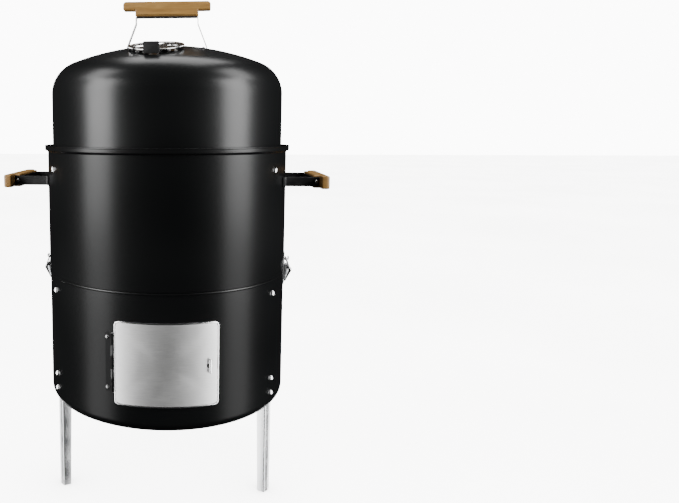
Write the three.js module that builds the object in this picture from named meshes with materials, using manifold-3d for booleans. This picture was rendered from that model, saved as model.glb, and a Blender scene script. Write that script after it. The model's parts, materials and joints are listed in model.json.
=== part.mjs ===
// Vertical water smoker: a base with a fire door on three legs, a barrel with two side handles,
// a domed lid with a turning damper, and inside them a charcoal ring, a water bowl and two grates.
// Millimetres, +Z up, the origin on the floor under the drum's axis, the front towards -Y.
import * as THREE from "three";
import { mergeVertices } from "three/addons/utils/BufferGeometryUtils.js";
import Module from "manifold-3d";

const wasm = await Module();
wasm.setup();

// ---- driving dimensions ----
const FACETS = 48; // facets round each drum, a multiple of 12 so that corners fall on X and Y
const FIT = 0.3; // gap between pieces that touch
const SHEET = 1.2; // steel sheet of the drums, the bowl and the door
const STRAP = 1.6; // steel strip of the brackets and the handles
const BRACKET = 1.5; // steel strip of the legs and the inner brackets

const BASE_RADIUS = 215;
const BARREL_STEP = 1; // the barrel stands out over the base
const LIP_STEP = 5; // the lip stands out over the barrel
const LID_INSET = 9; // the lid's wall stands in from the barrel's
const BASE_BOTTOM = 150; // underside of the base above the floor
const BASE_HEIGHT = 230;
const BARREL_HEIGHT = 215; // from the seam to the ledge that carries the lid
const LID_HEIGHT = 182.7;

const BASE_CORNER = 18;
const RIM_HEIGHT = 20; // the base's rim inside the barrel
const RIM_SLIP = 0.8; // radial slip between that rim and the barrel
const BEAD_PROUD = 1.2; // rolled bead that carries the barrel
const BEAD_FLARE = [5, 2.8]; // heights below the seam where its outside starts and is full
const BEAD_INSIDE = [2, 4.5]; // and where its inside turns in and ends
const CORNER_STEPS = 3; // facets round the base's bottom corner
const LEDGE_RISE = 2;
const LIP_HEIGHT = 9;
const LIP_SLIP = 1;
const LID_KNUCKLE = 58;
const LID_CROWN = 460;
const LID_FLANGE = 2.2;
const LID_FOLD = 2; // bends between the flange and the wall
const DOME_BENDS = 5; // facets up the lid's knuckle, and up its crown
const DOME_RINGS = 3;

const LEG_AZIMUTHS = [-60, 60, 180];
const LEG_NAMES = ["left", "right", "rear"];
const LEG_HALF_WIDTH = 11;
const LEG_DEPTH = 16; // depth of a leg's flanges inside the base
const LEG_FOOT_DEPTH = 13; // and at the floor
const LEG_TAPER_END = 4; // below the base's bottom, where the flanges reach their full depth
const LEG_CREASE = 2.5; // how far the middle fold of a leg stands out
const LEG_ABOVE_BOTTOM = 70;
const LEG_BOLTS = [29, 55]; // heights above the base's bottom
const LEG_SLOT_CLEAR = 1; // round a leg where it enters the base
const HOLE_REACH = 25; // how far hole cutters run to both sides of a wall
const CUT_OVER = 5; // how far other cutters run past what they cut
const BOLT_RADIUS = 2.7;
const BOLT_HEAD = 4.5;
const BOLT_HEAD_HEIGHT = 3;
const BOLT_SHOULDER = [0.8, 0.7]; // where the head's cone ends, in shares of its radius and height
const NUT_RADIUS = 5;
const NUT_HEIGHT = 4;
const PIN_FACETS = 8;
const BORE_FACETS = 10;
const ROD_FACETS = 12;

const DOOR_FROM = -19.4; // azimuths of the door's two edges, degrees
const DOOR_TO = 25.9;
const DOOR_BOTTOM = 44.5; // height of the door's lower edge above the base's bottom
const DOOR_HEIGHT = 137.5;
const DOOR_LAP = 8; // how far the door laps over its opening
const DOOR_CORNER = 7;
const DOOR_GAP = 0.5;
const DOOR_FACETS = 15;
const DOOR_TANG = 2.4; // the tangs of the door's knuckles past the knuckle
const DOOR_MASK = 60; // depth of the block that rounds the door's corners
const HINGE_HEIGHT = 97;
const HINGE_KNUCKLES = 5;
const KNUCKLE_RADIUS = 2.6;
const KNUCKLE_BORE = 1.6;
const HINGE_PIN = 1.2;
const HINGE_LEAF = 13;
const PIN_PROUD = 1; // the pin past the hinge's ends
const TANG_LAP = 1;
const SCREW_RADIUS = 1.89;
const SCREW_INSIDE = 5; // the hinge screws past the wall's inner face
const SCREW_HEAD = [3.78, 2.65]; // radii of the head's foot and shoulder
const SCREW_HEAD_HEIGHT = [1.6, 1.9]; // heights of its shoulder and its middle
const HINGE_SCREWS = [-41.5, 41.5]; // heights from the hinge's middle
const HINGE_SCREW_OFFSET = 9.4;
const THUMB_AZIMUTH = 21.7;
const THUMB_BELOW_MIDDLE = 3.2;
const THUMB_LENGTH = 23;
const THUMB_WIDTH = 4;
const THUMB_PROUD = 4;
const THUMB_SHAFT = 3;
const THUMB_SHAFT_LAP = 1; // the shaft into the blade and past the tongue
const TONGUE_REACH = 18;

const FIRE_GRATE_HEIGHT = 36.3; // of the charcoal grate's underside above the base's bottom
const FIRE_GRATE_CLEAR = 18.5; // between the charcoal grate and the legs
const FIRE_RING_INSET = 6;
const FIRE_RING_HEIGHT = 70;
const FIRE_SLOTS = 12;
const FIRE_SLOT_HALF_WIDTH = 5;
const FIRE_SLOT_SHARE = 0.3; // of the ring's height left above and below the slots
const FACETS_PER_SLOT = 4;
const FIRE_HALF_WIDTH = 7;
const FIRE_PLATE_END = 8; // the fire brackets' plates above their bolts
const FIRE_LAP = 16; // how far the shelves reach under their grate
const SHELF_LAP = 6;
const GRATE_CLEAR = 13.8; // between the cooking grates and the base's wall
const GRATE_RIM = 7;
const GRATE_THICKNESS = 5;
const GRATE_BARS = 9;
const BAR_WIDTH = 4;
const BAR_INSET = 0.5; // between a bar and the rim's two faces
const BOWL_BELOW_SEAM = 17.7; // of the bowl's rim below the barrel's lower edge
const BOWL_RIM = 8;
const BOWL_TAPER = 60;
const BOWL_BEND = 12;
const BOWL_DEPTH = 80;
const UPPER_GRATE_BELOW_LIP = 23; // of the grate's underside below the barrel's ledge
const SHELF_BOLT = 6; // bracket bolts below their shelves
const SHELF_HALF_WIDTH = 10;
const SHELF_DROP = 22;

const GRIP_LENGTH = 157;
const GRIP_BLOCK_LENGTH = 113;
const GRIP_BAR = 15;
const GRIP_BLOCK = 10.5;
const GRIP_WIDTH = 22.5;
const GRIP_CORNER = 5;
const GRIP_CORNER_ANGLES = [0, 30, 60, 90];
const GRIP_BEVEL = 1.5;
const SIDE_GRIP_REACH = 68; // outer face of the side grips from the barrel's wall
const SIDE_GRIP_HEIGHT = 161.5; // of the side grips' middle above the seam
const SIDE_ARM_HEIGHT = 16.5;
const SIDE_FOOT = 16;
const SIDE_TOE_FLARE = 0.5;
const SIDE_BEND = 1; // thickening at the bend of the side brackets
const LID_GRIP_TOP = 79; // of the lid's grip above its crown
const LID_STRAP_WIDTH = 16;
const LID_STRAP_BEND = 12;
const LID_FOOT_AT = 74;
const LID_FOOT_LENGTH = 14;

const DAMPER_RADIUS = 46.5;
const DAMPER_THICKNESS = 1.2;
const DAMPER_FACETS = 36;
const DAMPER_INSET = 42.5; // between the disc and the lid's wall
const DAMPER_AZIMUTH = -5;
const DAMPER_HOLES = 4;
const DAMPER_HOLE = 8.5;
const VENT_INSET = 0.5; // the lid's vents are smaller than the disc's holes by this
const DAMPER_HOLE_CIRCLE = 27;
const DAMPER_GAP = 2.8; // lower face of the flat disc above the dome at the disc's middle
const TAB_WIDTH = 26;
const TAB_LOW = -1.5; // the tab's lower edge from the dome's level at the disc's middle
const TAB_HEIGHT = 19;
const TAB_CLEAR = 1; // between the disc's edge and the tab
const TAB_LAP = 9; // of the tab's foot over the disc
const TAB_THICKNESS = 3;
const RIVET_CLEAR = 0.3;
const RIVET_HEAD = 3;
const RIVET_SHOULDER = 0.9;
const RIVET_TOP = 4;
const INTAKE_RADIUS = 60;
const INTAKE_FACETS = 32;
const INTAKE_HOLE = 11;
const INTAKE_HOLE_CIRCLE = 36;
const INTAKE_TAB = 30;
const INTAKE_TAB_HALF_WIDTH = 8;
const INTAKE_RIVET_HEAD = 2;

const LATCH_AZIMUTHS = [-90, 90];
const SIDES = ["left", "right"];
const LEVER_PIVOT = [6.5, -2]; // outwards from the barrel's wall, and up from the seam
const BAIL_PIVOT = [12.5, -5.5];
const BAIL_TOP = [5, 15];
const LEVER_TIP = [2.9, -28];
const LEVER_HALF_WIDTH = 6;
const LATCH_BOSS = 3.2;
const LEVER_KNEE = [3, -9]; // from the tip's middle, and from the pivot's height
const LEVER_TIP_HALF = 1.3;
const LEVER_NOSE = [0.9, -2, 1.5]; // share of the boss outwards, then down and up, from the bail's pivot
const LEVER_HEEL = [2, -1]; // outwards and inwards from the pivot, at the top
const EAR_INNER = 7;
const EAR_THICKNESS = 1.5;
const EAR_LIFT = 0.3; // of the ears' back edge from the plate's back
const EAR_BACK = [-24, -9]; // heights of that edge's ends from the seam
const EAR_FRONT = [[3.5, -24], [9.5, -6], [9.5, 1], [7.5, 4], [3.5, 4]];
const EAR_NOTCH = [0, -7]; // heights of the notch that clears the bead
const LATCH_PLATE = [-34, -7];
const BAIL_WIRE = 1.5;
const BAIL_HALF_WIDTH = 10.5;
const BAIL_END = 4; // the wire's ends from the lever's middle
const LATCH_PIN = 1.4;
const LATCH_BORE = 1.8;
const HOOK_HALF_WIDTH = 6.5;
const HOOK_PLATE = [3, 27]; // heights of the hook's plate above the seam
const HOOK_LIP = 8.7;
const HOOK_LIP_TOP = 17.5;

// ---- levels and radii that follow ----
const BARREL_RADIUS = BASE_RADIUS + BARREL_STEP;
const LIP_RADIUS = BARREL_RADIUS + LIP_STEP;
const LID_RADIUS = BARREL_RADIUS - LID_INSET;
const SEAM = BASE_BOTTOM + BASE_HEIGHT; // the barrel's lower edge
const LEDGE = SEAM + BARREL_HEIGHT;
const LIP_TOP = LEDGE + LIP_HEIGHT;
const LIP_INNER = LIP_RADIUS - SHEET;
const LID_BOTTOM = LEDGE + LEDGE_RISE + FIT;
const CROWN_TOP = LID_BOTTOM + LID_HEIGHT;
const BASE_INNER = BASE_RADIUS - SHEET;
const BARREL_INNER = BARREL_RADIUS - SHEET;
const WALL_FACET = Math.cos(Math.PI / FACETS);
const DOOR_INNER = BASE_RADIUS + DOOR_GAP;
const DOOR_OUTER = DOOR_INNER + SHEET;
const DOOR_LOW = BASE_BOTTOM + DOOR_BOTTOM;
const DOOR_MIDDLE = DOOR_LOW + DOOR_HEIGHT / 2;
const THUMB_LEVEL = DOOR_MIDDLE - THUMB_BELOW_MIDDLE;
const HINGE_AT = BASE_RADIUS + FIT + KNUCKLE_RADIUS; // hinge pin from the axis
const HINGE_AZIMUTH = DOOR_FROM - degrees(KNUCKLE_RADIUS / HINGE_AT);
const LEG_FACE = BASE_INNER * WALL_FACET - FIT - LEG_CREASE; // outer face of a leg's edges
const FIRE_GRATE_RADIUS = LEG_FACE - LEG_DEPTH - FIRE_GRATE_CLEAR;
const FIRE_RING_RADIUS = FIRE_GRATE_RADIUS - FIRE_RING_INSET;
const GRATE_RADIUS = BASE_INNER - GRATE_CLEAR;
const BOWL_FLOOR_RADIUS = GRATE_RADIUS - BOWL_RIM - BOWL_TAPER;
const SIDE_GRIP_FACE = BARREL_RADIUS + SIDE_GRIP_REACH;
const DAMPER_FROM_AXIS = LID_RADIUS - DAMPER_RADIUS - DAMPER_INSET;
const BOWL_LEVEL = SEAM - BOWL_BELOW_SEAM;
const UPPER_SHELF = LEDGE - UPPER_GRATE_BELOW_LIP;
const LID_GRIP_FACE = CROWN_TOP + LID_GRIP_TOP;

function degrees(radians) {
  return THREE.MathUtils.radToDeg(radians);
}

function radians(angle) {
  return THREE.MathUtils.degToRad(angle);
}

// Height of the dome's outer face at a distance from the axis, inside its spherical crown.
function domeHeight(fromAxis) {
  return CROWN_TOP - LID_CROWN + Math.sqrt(LID_CROWN ** 2 - fromAxis ** 2);
}

// Farthest that a flat plate of some half width can stand out inside a faceted wall.
function seatInside(wallRadius, halfWidth) {
  return Math.sqrt((wallRadius * WALL_FACET) ** 2 - halfWidth ** 2) - FIT;
}

// ---- finishes ----
function finish(color, roughness, metalness) {
  return () => new THREE.MeshStandardMaterial({ color, roughness, metalness });
}

const blackPaint = finish(0x1c1d1d, 0.45, 0.1);
const doorSteel = finish(0xc4c4c4, 0.35, 0.9);
const zincSteel = finish(0xa9abac, 0.3, 0.9);
const chrome = finish(0xdcdddd, 0.12, 1);
const gratingSteel = finish(0xb5b5b2, 0.25, 1);
const enamel = finish(0x18181a, 0.25, 0);
const blackPlastic = finish(0x0c0c0c, 0.6, 0);
const bamboo = finish(0xb08842, 0.55, 0);

// ---- solids ----
function solid(geometry) {
  const bare = geometry.clone();
  bare.deleteAttribute("normal");
  bare.deleteAttribute("uv");
  const merged = mergeVertices(bare);
  const mesh = new wasm.Mesh({
    numProp: 3,
    vertProperties: new Float32Array(merged.attributes.position.array),
    triVerts: new Uint32Array(merged.index.array),
  });
  return new wasm.Manifold(mesh);
}

function geometryOf(manifold) {
  const mesh = manifold.getMesh();
  const geometry = new THREE.BufferGeometry();
  geometry.setAttribute("position", new THREE.BufferAttribute(mesh.vertProperties, 3));
  geometry.setIndex(new THREE.BufferAttribute(mesh.triVerts, 1));
  geometry.computeVertexNormals();
  return geometry;
}

function join(first, ...others) {
  return geometryOf(others.reduce((whole, other) => whole.add(solid(other)), solid(first)));
}

function cut(blank, ...tools) {
  return geometryOf(tools.reduce((rest, tool) => rest.subtract(solid(tool)), solid(blank)));
}

function common(first, second) {
  return geometryOf(solid(first).intersect(solid(second)));
}

function vectors(points) {
  return points.map(([x, y]) => new THREE.Vector2(x, y));
}

function mirrored(points) {
  return [...points, ...points.map(([x, y]) => [-x, y]).reverse()];
}

// A ring or a bowl turned about Z from a profile of [radius, height], outside up and inside down.
function turned(profile, facets = FACETS, closed = true) {
  const points = vectors(closed ? [...profile, profile[0]] : profile);
  return new THREE.LatheGeometry(points, facets).rotateX(Math.PI / 2);
}

// A pin turned about the outward direction, from a profile of [radius, distance from the axis].
function turnedOutwards(profile, facets = PIN_FACETS) {
  const points = vectors(profile.map(([radius, outwards]) => [radius, -outwards]).reverse());
  return new THREE.LatheGeometry(points, facets);
}

function rod(radius, low, high, facets = ROD_FACETS) {
  return turned([[0, low], [radius, low], [radius, high], [0, high]], facets, false);
}

function box(x, y, z) {
  const size = [x, y, z].map(([low, high]) => high - low);
  const middle = [x, y, z].map(([low, high]) => (high + low) / 2);
  return new THREE.BoxGeometry(...size).translate(...middle);
}

// A box in the front frame: across, outwards and up.
function block(across, outwards, up) {
  return box(across, [-outwards[1], -outwards[0]], up);
}

function outline(points) {
  return new THREE.Shape(vectors(points));
}

// A strip of even thickness along a bent line; the line is its right-hand face.
function ribbon(path, thickness) {
  const line = vectors(path);
  const normals = line.slice(1).map((end, i) => {
    const along = end.clone().sub(line[i]).normalize();
    return new THREE.Vector2(-along.y, along.x);
  });
  const far = line.map((point, i) => {
    const before = normals[Math.max(i - 1, 0)];
    const after = normals[Math.min(i, normals.length - 1)];
    const mitre = before.clone().add(after);
    return point.clone().addScaledVector(mitre, thickness / (1 + before.dot(after)));
  });
  return new THREE.Shape([...line, ...far.reverse()]);
}

function extruded(shape, depth) {
  return new THREE.ExtrudeGeometry(shape, { depth, bevelEnabled: false, curveSegments: 6 });
}

// A plan of [across, outwards] raised from one level to another.
function raised(points, low, high) {
  const plan = outline(points.map(([across, outwards]) => [across, -outwards]).reverse());
  return extruded(plan, high - low).translate(0, 0, low);
}

const PROFILE_TURN = new THREE.Matrix4().makeBasis(
  new THREE.Vector3(0, -1, 0),
  new THREE.Vector3(0, 0, 1),
  new THREE.Vector3(-1, 0, 0),
);

// A side profile of [outwards, up] as wide as two given positions across.
function widened(shape, from, to) {
  return extruded(shape, to - from).applyMatrix4(PROFILE_TURN).translate(to, 0, 0);
}

function around(geometry, azimuth) {
  return geometry.clone().rotateZ(radians(azimuth));
}

function piece(name, geometry, makeFinish, azimuth = 0) {
  const mesh = new THREE.Mesh(geometry, makeFinish());
  mesh.name = name;
  mesh.rotation.z = radians(azimuth);
  return mesh;
}

function boltHole(level, azimuth, wallRadius) {
  const [near, far] = [wallRadius - HOLE_REACH, wallRadius + HOLE_REACH];
  const radius = BOLT_RADIUS + FIT;
  const reach = [[0, near], [radius, near], [radius, far], [0, far]];
  return around(turnedOutwards(reach).translate(0, 0, level), azimuth);
}

// A round-headed bolt through a wall, with its nut behind the plate that it clamps.
function bolt(wallRadius, plateBack, level) {
  const head = wallRadius + FIT;
  const nut = plateBack - FIT;
  const profile = [
    [0, nut - NUT_HEIGHT], [NUT_RADIUS, nut - NUT_HEIGHT], [NUT_RADIUS, nut], [BOLT_RADIUS, nut],
    [BOLT_RADIUS, head], [BOLT_HEAD, head],
    [BOLT_HEAD * BOLT_SHOULDER[0], head + BOLT_HEAD_HEIGHT * BOLT_SHOULDER[1]],
    [0, head + BOLT_HEAD_HEIGHT],
  ];
  return turnedOutwards(profile).translate(0, 0, level);
}

// ---- the base ----
function cornerArc(radius, centreRadius, centreLevel) {
  return Array.from({ length: CORNER_STEPS + 1 }, (_, i) => {
    const angle = (Math.PI / 2) * (1 - i / CORNER_STEPS);
    return [centreRadius + radius * Math.cos(angle), centreLevel - radius * Math.sin(angle)];
  });
}

function baseShell() {
  const cornerRadius = BASE_RADIUS - BASE_CORNER;
  const cornerLevel = BASE_BOTTOM + BASE_CORNER;
  const rimOuter = BARREL_INNER - RIM_SLIP;
  const beadOuter = BASE_RADIUS + BEAD_PROUD;
  const shell = turned([
    [0, BASE_BOTTOM],
    ...cornerArc(BASE_CORNER, cornerRadius, cornerLevel),
    [BASE_RADIUS, SEAM - BEAD_FLARE[0]], [beadOuter, SEAM - BEAD_FLARE[1]], [beadOuter, SEAM - FIT],
    [rimOuter, SEAM - FIT], [rimOuter, SEAM + RIM_HEIGHT],
    [rimOuter - SHEET, SEAM + RIM_HEIGHT], [rimOuter - SHEET, SEAM - BEAD_INSIDE[0]],
    [BASE_INNER, SEAM - BEAD_INSIDE[1]],
    ...cornerArc(BASE_CORNER - SHEET, cornerRadius, cornerLevel).reverse(),
    [0, BASE_BOTTOM + SHEET],
  ], FACETS, false);
  const lap = degrees(DOOR_LAP / BASE_RADIUS);
  const edges = [HINGE_AZIMUTH + lap, DOOR_TO - lap].map(radians);
  const corner = (radius, angle) => [radius * Math.sin(angle), radius * Math.cos(angle)];
  const doorway = raised([
    corner(BASE_RADIUS - HOLE_REACH, edges[0]), corner(BASE_RADIUS - HOLE_REACH, edges[1]),
    corner(BASE_RADIUS + HOLE_REACH, edges[1]), corner(BASE_RADIUS + HOLE_REACH, edges[0]),
  ], DOOR_LOW + DOOR_LAP, DOOR_LOW + DOOR_HEIGHT - DOOR_LAP);
  const slotFar = BASE_INNER * WALL_FACET - FIT / 2;
  const slot = block(
    [-LEG_HALF_WIDTH - LEG_SLOT_CLEAR, LEG_HALF_WIDTH + LEG_SLOT_CLEAR],
    [LEG_FACE - LEG_DEPTH - LEG_SLOT_CLEAR, slotFar],
    [BASE_BOTTOM - CUT_OVER, BASE_BOTTOM + BASE_CORNER],
  );
  const legCuts = LEG_AZIMUTHS.flatMap((azimuth) => [
    around(slot, azimuth),
    ...LEG_BOLTS.map((height) => boltHole(BASE_BOTTOM + height, azimuth, BASE_RADIUS)),
    boltHole(shelfBoltLevel(BOWL_LEVEL), azimuth, BASE_RADIUS),
  ]);
  const screwCuts = HINGE_SCREWS.map((height) => hingeScrewHole(DOOR_MIDDLE + height));
  const floorCut = [BASE_BOTTOM - CUT_OVER, BASE_BOTTOM + CUT_OVER];
  const intakeCuts = ventHoles(INTAKE_HOLE, INTAKE_HOLE_CIRCLE, ...floorCut);
  const rivetHole = rod(BOLT_RADIUS + FIT, ...floorCut, PIN_FACETS);
  return cut(shell, doorway, ...legCuts, ...screwCuts, ...intakeCuts, rivetHole);
}

function ventHoles(radius, circle, low, high) {
  return Array.from({ length: DAMPER_HOLES }, (_, i) => {
    const angle = (i / DAMPER_HOLES) * 2 * Math.PI;
    const [across, outwards] = [circle * Math.sin(angle), circle * Math.cos(angle)];
    return rod(radius, low, high, BORE_FACETS).translate(across, -outwards, 0);
  });
}

// A pressed leg: a creased web against the wall and two flanges that narrow towards the floor.
function leg() {
  const half = LEG_HALF_WIDTH;
  const edge = LEG_DEPTH - LEG_FACE;
  const section = ribbon([
    [-half, edge], [-half, -LEG_FACE], [0, -LEG_FACE - LEG_CREASE], [half, -LEG_FACE], [half, edge],
  ], BRACKET);
  const channel = extruded(section, BASE_BOTTOM + LEG_ABOVE_BOTTOM);
  const far = LEG_FACE - LEG_DEPTH - CUT_OVER;
  const taperEnd = BASE_BOTTOM - LEG_TAPER_END;
  const narrowing = widened(outline([
    [far, -CUT_OVER], [LEG_FACE - LEG_FOOT_DEPTH, -CUT_OVER], [LEG_FACE - LEG_FOOT_DEPTH, 0],
    [LEG_FACE - LEG_DEPTH, taperEnd], [far, taperEnd],
  ]), -half - CUT_OVER, half + CUT_OVER);
  const holes = LEG_BOLTS.map((height) => boltHole(BASE_BOTTOM + height, 0, BASE_RADIUS));
  return cut(channel, narrowing, ...holes);
}

// An angle bracket inside a wall: a bolted plate and a shelf at its top or its bottom.
function shelfBracket(plateFace, shelfEnd, shelfTop, plateEnd, halfWidth, boltLevel, wallRadius) {
  const up = plateEnd > shelfTop;
  const shelfFace = up ? shelfTop - BRACKET : shelfTop;
  const path = [[shelfEnd, shelfFace], [plateFace, shelfFace], [plateFace, plateEnd]];
  const profile = ribbon(up ? path : path.reverse(), BRACKET);
  const bracket = widened(profile, -halfWidth, halfWidth);
  return cut(bracket, boltHole(boltLevel, 0, wallRadius));
}

function shelfPlate(wallInner) {
  return seatInside(wallInner, SHELF_HALF_WIDTH);
}

function shelfBoltLevel(shelfTop) {
  return shelfTop - SHELF_BOLT - BRACKET;
}

function hangingBracket(wallRadius, wallInner, shelfTop) {
  const face = shelfPlate(wallInner);
  return shelfBracket(face, GRATE_RADIUS - SHELF_LAP, shelfTop, shelfTop - SHELF_DROP, SHELF_HALF_WIDTH,
    shelfBoltLevel(shelfTop), wallRadius);
}

const FIRE_SHELF = BASE_BOTTOM + FIRE_GRATE_HEIGHT - FIT;
const FIRE_PLATE = LEG_FACE - BRACKET + LEG_CREASE * (1 - FIRE_HALF_WIDTH / LEG_HALF_WIDTH) - FIT;

function fireBracket() {
  return shelfBracket(FIRE_PLATE, FIRE_GRATE_RADIUS - FIRE_LAP, FIRE_SHELF,
    BASE_BOTTOM + LEG_BOLTS[1] + FIRE_PLATE_END, FIRE_HALF_WIDTH, BASE_BOTTOM + LEG_BOLTS[1], BASE_RADIUS);
}

function baseParts() {
  const parts = [piece("base_shell", baseShell(), blackPaint)];
  LEG_AZIMUTHS.forEach((azimuth, i) => {
    const name = LEG_NAMES[i];
    const creaseBack = LEG_FACE + LEG_CREASE - BRACKET;
    const backs = [creaseBack - LEG_CREASE, FIRE_PLATE - BRACKET];
    parts.push(piece(`leg_${name}`, leg(), zincSteel, azimuth));
    ["lower", "upper"].forEach((place, j) => {
      const shape = bolt(BASE_RADIUS, backs[j], BASE_BOTTOM + LEG_BOLTS[j]);
      parts.push(piece(`leg_bolt_${place}_${name}`, shape, chrome, azimuth));
    });
    parts.push(piece(`fire_bracket_${name}`, fireBracket(), zincSteel, azimuth));
    parts.push(piece(`bowl_bracket_${name}`,
      hangingBracket(BASE_RADIUS, BASE_INNER, BOWL_LEVEL), zincSteel, azimuth));
    const shelfBolt = bolt(BASE_RADIUS, shelfPlate(BASE_INNER) - BRACKET,
      shelfBoltLevel(BOWL_LEVEL));
    parts.push(piece(`bowl_bracket_bolt_${name}`, shelfBolt, chrome, azimuth));
  });
  return parts;
}

// ---- the fire door ----
const KNUCKLE_PITCH = HINGE_HEIGHT / HINGE_KNUCKLES;

// One knuckle of the hinge with the tang that joins it to its plate, in the hinge's own frame.
function knuckle(index, tangFrom, tangTo, tangLow, tangHigh) {
  const low = DOOR_MIDDLE - HINGE_HEIGHT / 2 + index * KNUCKLE_PITCH + FIT / 2;
  const high = low + KNUCKLE_PITCH - FIT;
  const ring = turned([
    [KNUCKLE_BORE, low], [KNUCKLE_RADIUS, low], [KNUCKLE_RADIUS, high], [KNUCKLE_BORE, high],
  ], ROD_FACETS).translate(0, -HINGE_AT, 0);
  return [ring, block([tangFrom, tangTo], [tangLow, tangHigh], [low, high])];
}

function hingeScrewHole(level) {
  const radius = SCREW_RADIUS + FIT;
  const hole = turnedOutwards([
    [0, BASE_INNER - HOLE_REACH], [radius, BASE_INNER - HOLE_REACH],
    [radius, BASE_RADIUS + HOLE_REACH], [0, BASE_RADIUS + HOLE_REACH],
  ]);
  return around(hole.translate(-HINGE_SCREW_OFFSET, 0, level), HINGE_AZIMUTH);
}

function hingeLeaf() {
  const low = HINGE_AT - KNUCKLE_RADIUS;
  const rest = DOOR_MIDDLE - HINGE_HEIGHT / 2;
  const plate = block([-HINGE_LEAF, -KNUCKLE_RADIUS - FIT], [low, low + SHEET],
    [rest, rest + HINGE_HEIGHT]);
  const knuckles = [0, 2, 4].flatMap((i) => (
    knuckle(i, -KNUCKLE_RADIUS - TANG_LAP, -TANG_LAP, low, low + SHEET)
  ));
  const screwHoles = HINGE_SCREWS.map((height) => {
    const hole = hingeScrewHole(DOOR_MIDDLE + height);
    return around(hole, -HINGE_AZIMUTH);
  });
  return cut(join(plate, ...knuckles), ...screwHoles);
}

function hingePin() {
  const low = DOOR_MIDDLE - HINGE_HEIGHT / 2 - PIN_PROUD;
  const high = DOOR_MIDDLE + HINGE_HEIGHT / 2 + PIN_PROUD;
  return rod(HINGE_PIN, low, high, PIN_FACETS).translate(0, -HINGE_AT, 0);
}

function hingeScrew(level) {
  const head = HINGE_AT - KNUCKLE_RADIUS + SHEET + FIT;
  const back = BASE_INNER - SCREW_INSIDE;
  const profile = [
    [0, back], [SCREW_RADIUS, back], [SCREW_RADIUS, head], [SCREW_HEAD[0], head],
    [SCREW_HEAD[1], head + SCREW_HEAD_HEIGHT[0]], [0, head + SCREW_HEAD_HEIGHT[1]],
  ];
  return turnedOutwards(profile).translate(-HINGE_SCREW_OFFSET, 0, level);
}

function doorPanel() {
  const azimuths = Array.from({ length: DOOR_FACETS + 1 },
    (_, i) => radians(DOOR_FROM + ((DOOR_TO - DOOR_FROM) * i) / DOOR_FACETS));
  const arc = (radius) => azimuths.map((a) => [radius * Math.sin(a), radius * Math.cos(a)]);
  const plan = [...arc(DOOR_INNER), ...arc(DOOR_OUTER).reverse()];
  const curved = raised(plan, DOOR_LOW, DOOR_LOW + DOOR_HEIGHT);
  const middle = (DOOR_FROM + DOOR_TO) / 2;
  const halfSpan = DOOR_OUTER * Math.sin(radians((DOOR_TO - DOOR_FROM) / 2)) + DOOR_GAP;
  const face = roundedBox(halfSpan, DOOR_HEIGHT / 2, DOOR_CORNER, DOOR_MASK);
  const mask = around(face.translate(0, DOOR_MASK / 2 - DOOR_OUTER, DOOR_MIDDLE), middle);
  const low = DOOR_INNER;
  const high = HINGE_AT - KNUCKLE_BORE;
  const tang = KNUCKLE_RADIUS + DOOR_TANG;
  const knuckles = [1, 3].flatMap((i) => knuckle(i, TANG_LAP, tang, low, Math.min(high, DOOR_OUTER)))
    .map((shape) => around(shape, HINGE_AZIMUTH));
  const thumbHole = turnedOutwards([
    [0, BASE_RADIUS - HOLE_REACH], [THUMB_SHAFT + FIT, BASE_RADIUS - HOLE_REACH],
    [THUMB_SHAFT + FIT, BASE_RADIUS + HOLE_REACH], [0, BASE_RADIUS + HOLE_REACH],
  ], BORE_FACETS).translate(0, 0, THUMB_LEVEL);
  return cut(join(common(curved, mask), ...knuckles), around(thumbHole, THUMB_AZIMUTH));
}

// A block with rounded corners in the across-up plane, running from front to back.
function roundedBox(halfAcross, halfUp, corner, depth) {
  const shape = new THREE.Shape();
  shape.absarc(halfAcross - corner, halfUp - corner, corner, 0, Math.PI / 2);
  shape.absarc(corner - halfAcross, halfUp - corner, corner, Math.PI / 2, Math.PI);
  shape.absarc(corner - halfAcross, corner - halfUp, corner, Math.PI, 1.5 * Math.PI);
  shape.absarc(halfAcross - corner, corner - halfUp, corner, 1.5 * Math.PI, 2 * Math.PI);
  return extruded(shape, depth).rotateX(Math.PI / 2).translate(0, depth / 2, 0);
}

// The thumb turn: a blade outside the door, a shaft through it and a tongue behind the wall.
function thumbTurn() {
  const tongueFace = seatInside(BASE_INNER, TONGUE_REACH) - FIT;
  const bladeFace = DOOR_OUTER + FIT;
  const shaft = turnedOutwards([
    [0, tongueFace - BRACKET - THUMB_SHAFT_LAP],
    [THUMB_SHAFT, tongueFace - BRACKET - THUMB_SHAFT_LAP],
    [THUMB_SHAFT, bladeFace + THUMB_SHAFT_LAP], [0, bladeFace + THUMB_SHAFT_LAP],
  ], BORE_FACETS);
  const blade = block([-THUMB_WIDTH / 2, THUMB_WIDTH / 2], [bladeFace, bladeFace + THUMB_PROUD],
    [-THUMB_LENGTH / 2, THUMB_LENGTH / 2]);
  const tongue = block([-THUMB_WIDTH, TONGUE_REACH], [tongueFace - BRACKET, tongueFace],
    [-THUMB_WIDTH, THUMB_WIDTH]);
  return join(shaft, blade, tongue).translate(0, 0, THUMB_LEVEL);
}

function doorParts() {
  return [
    piece("door_hinge_leaf", hingeLeaf(), blackPaint, HINGE_AZIMUTH),
    piece("door_hinge_pin", hingePin(), zincSteel, HINGE_AZIMUTH),
    ...HINGE_SCREWS.map((height, i) => piece(`door_hinge_screw_${["lower", "upper"][i]}`,
      hingeScrew(DOOR_MIDDLE + height), chrome, HINGE_AZIMUTH)),
    piece("door_panel", doorPanel(), doorSteel),
    piece("door_thumb_turn", thumbTurn(), chrome, THUMB_AZIMUTH),
  ];
}

// ---- the intake damper under the base ----
const INTAKE_TOP = BASE_BOTTOM - FIT;

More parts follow.
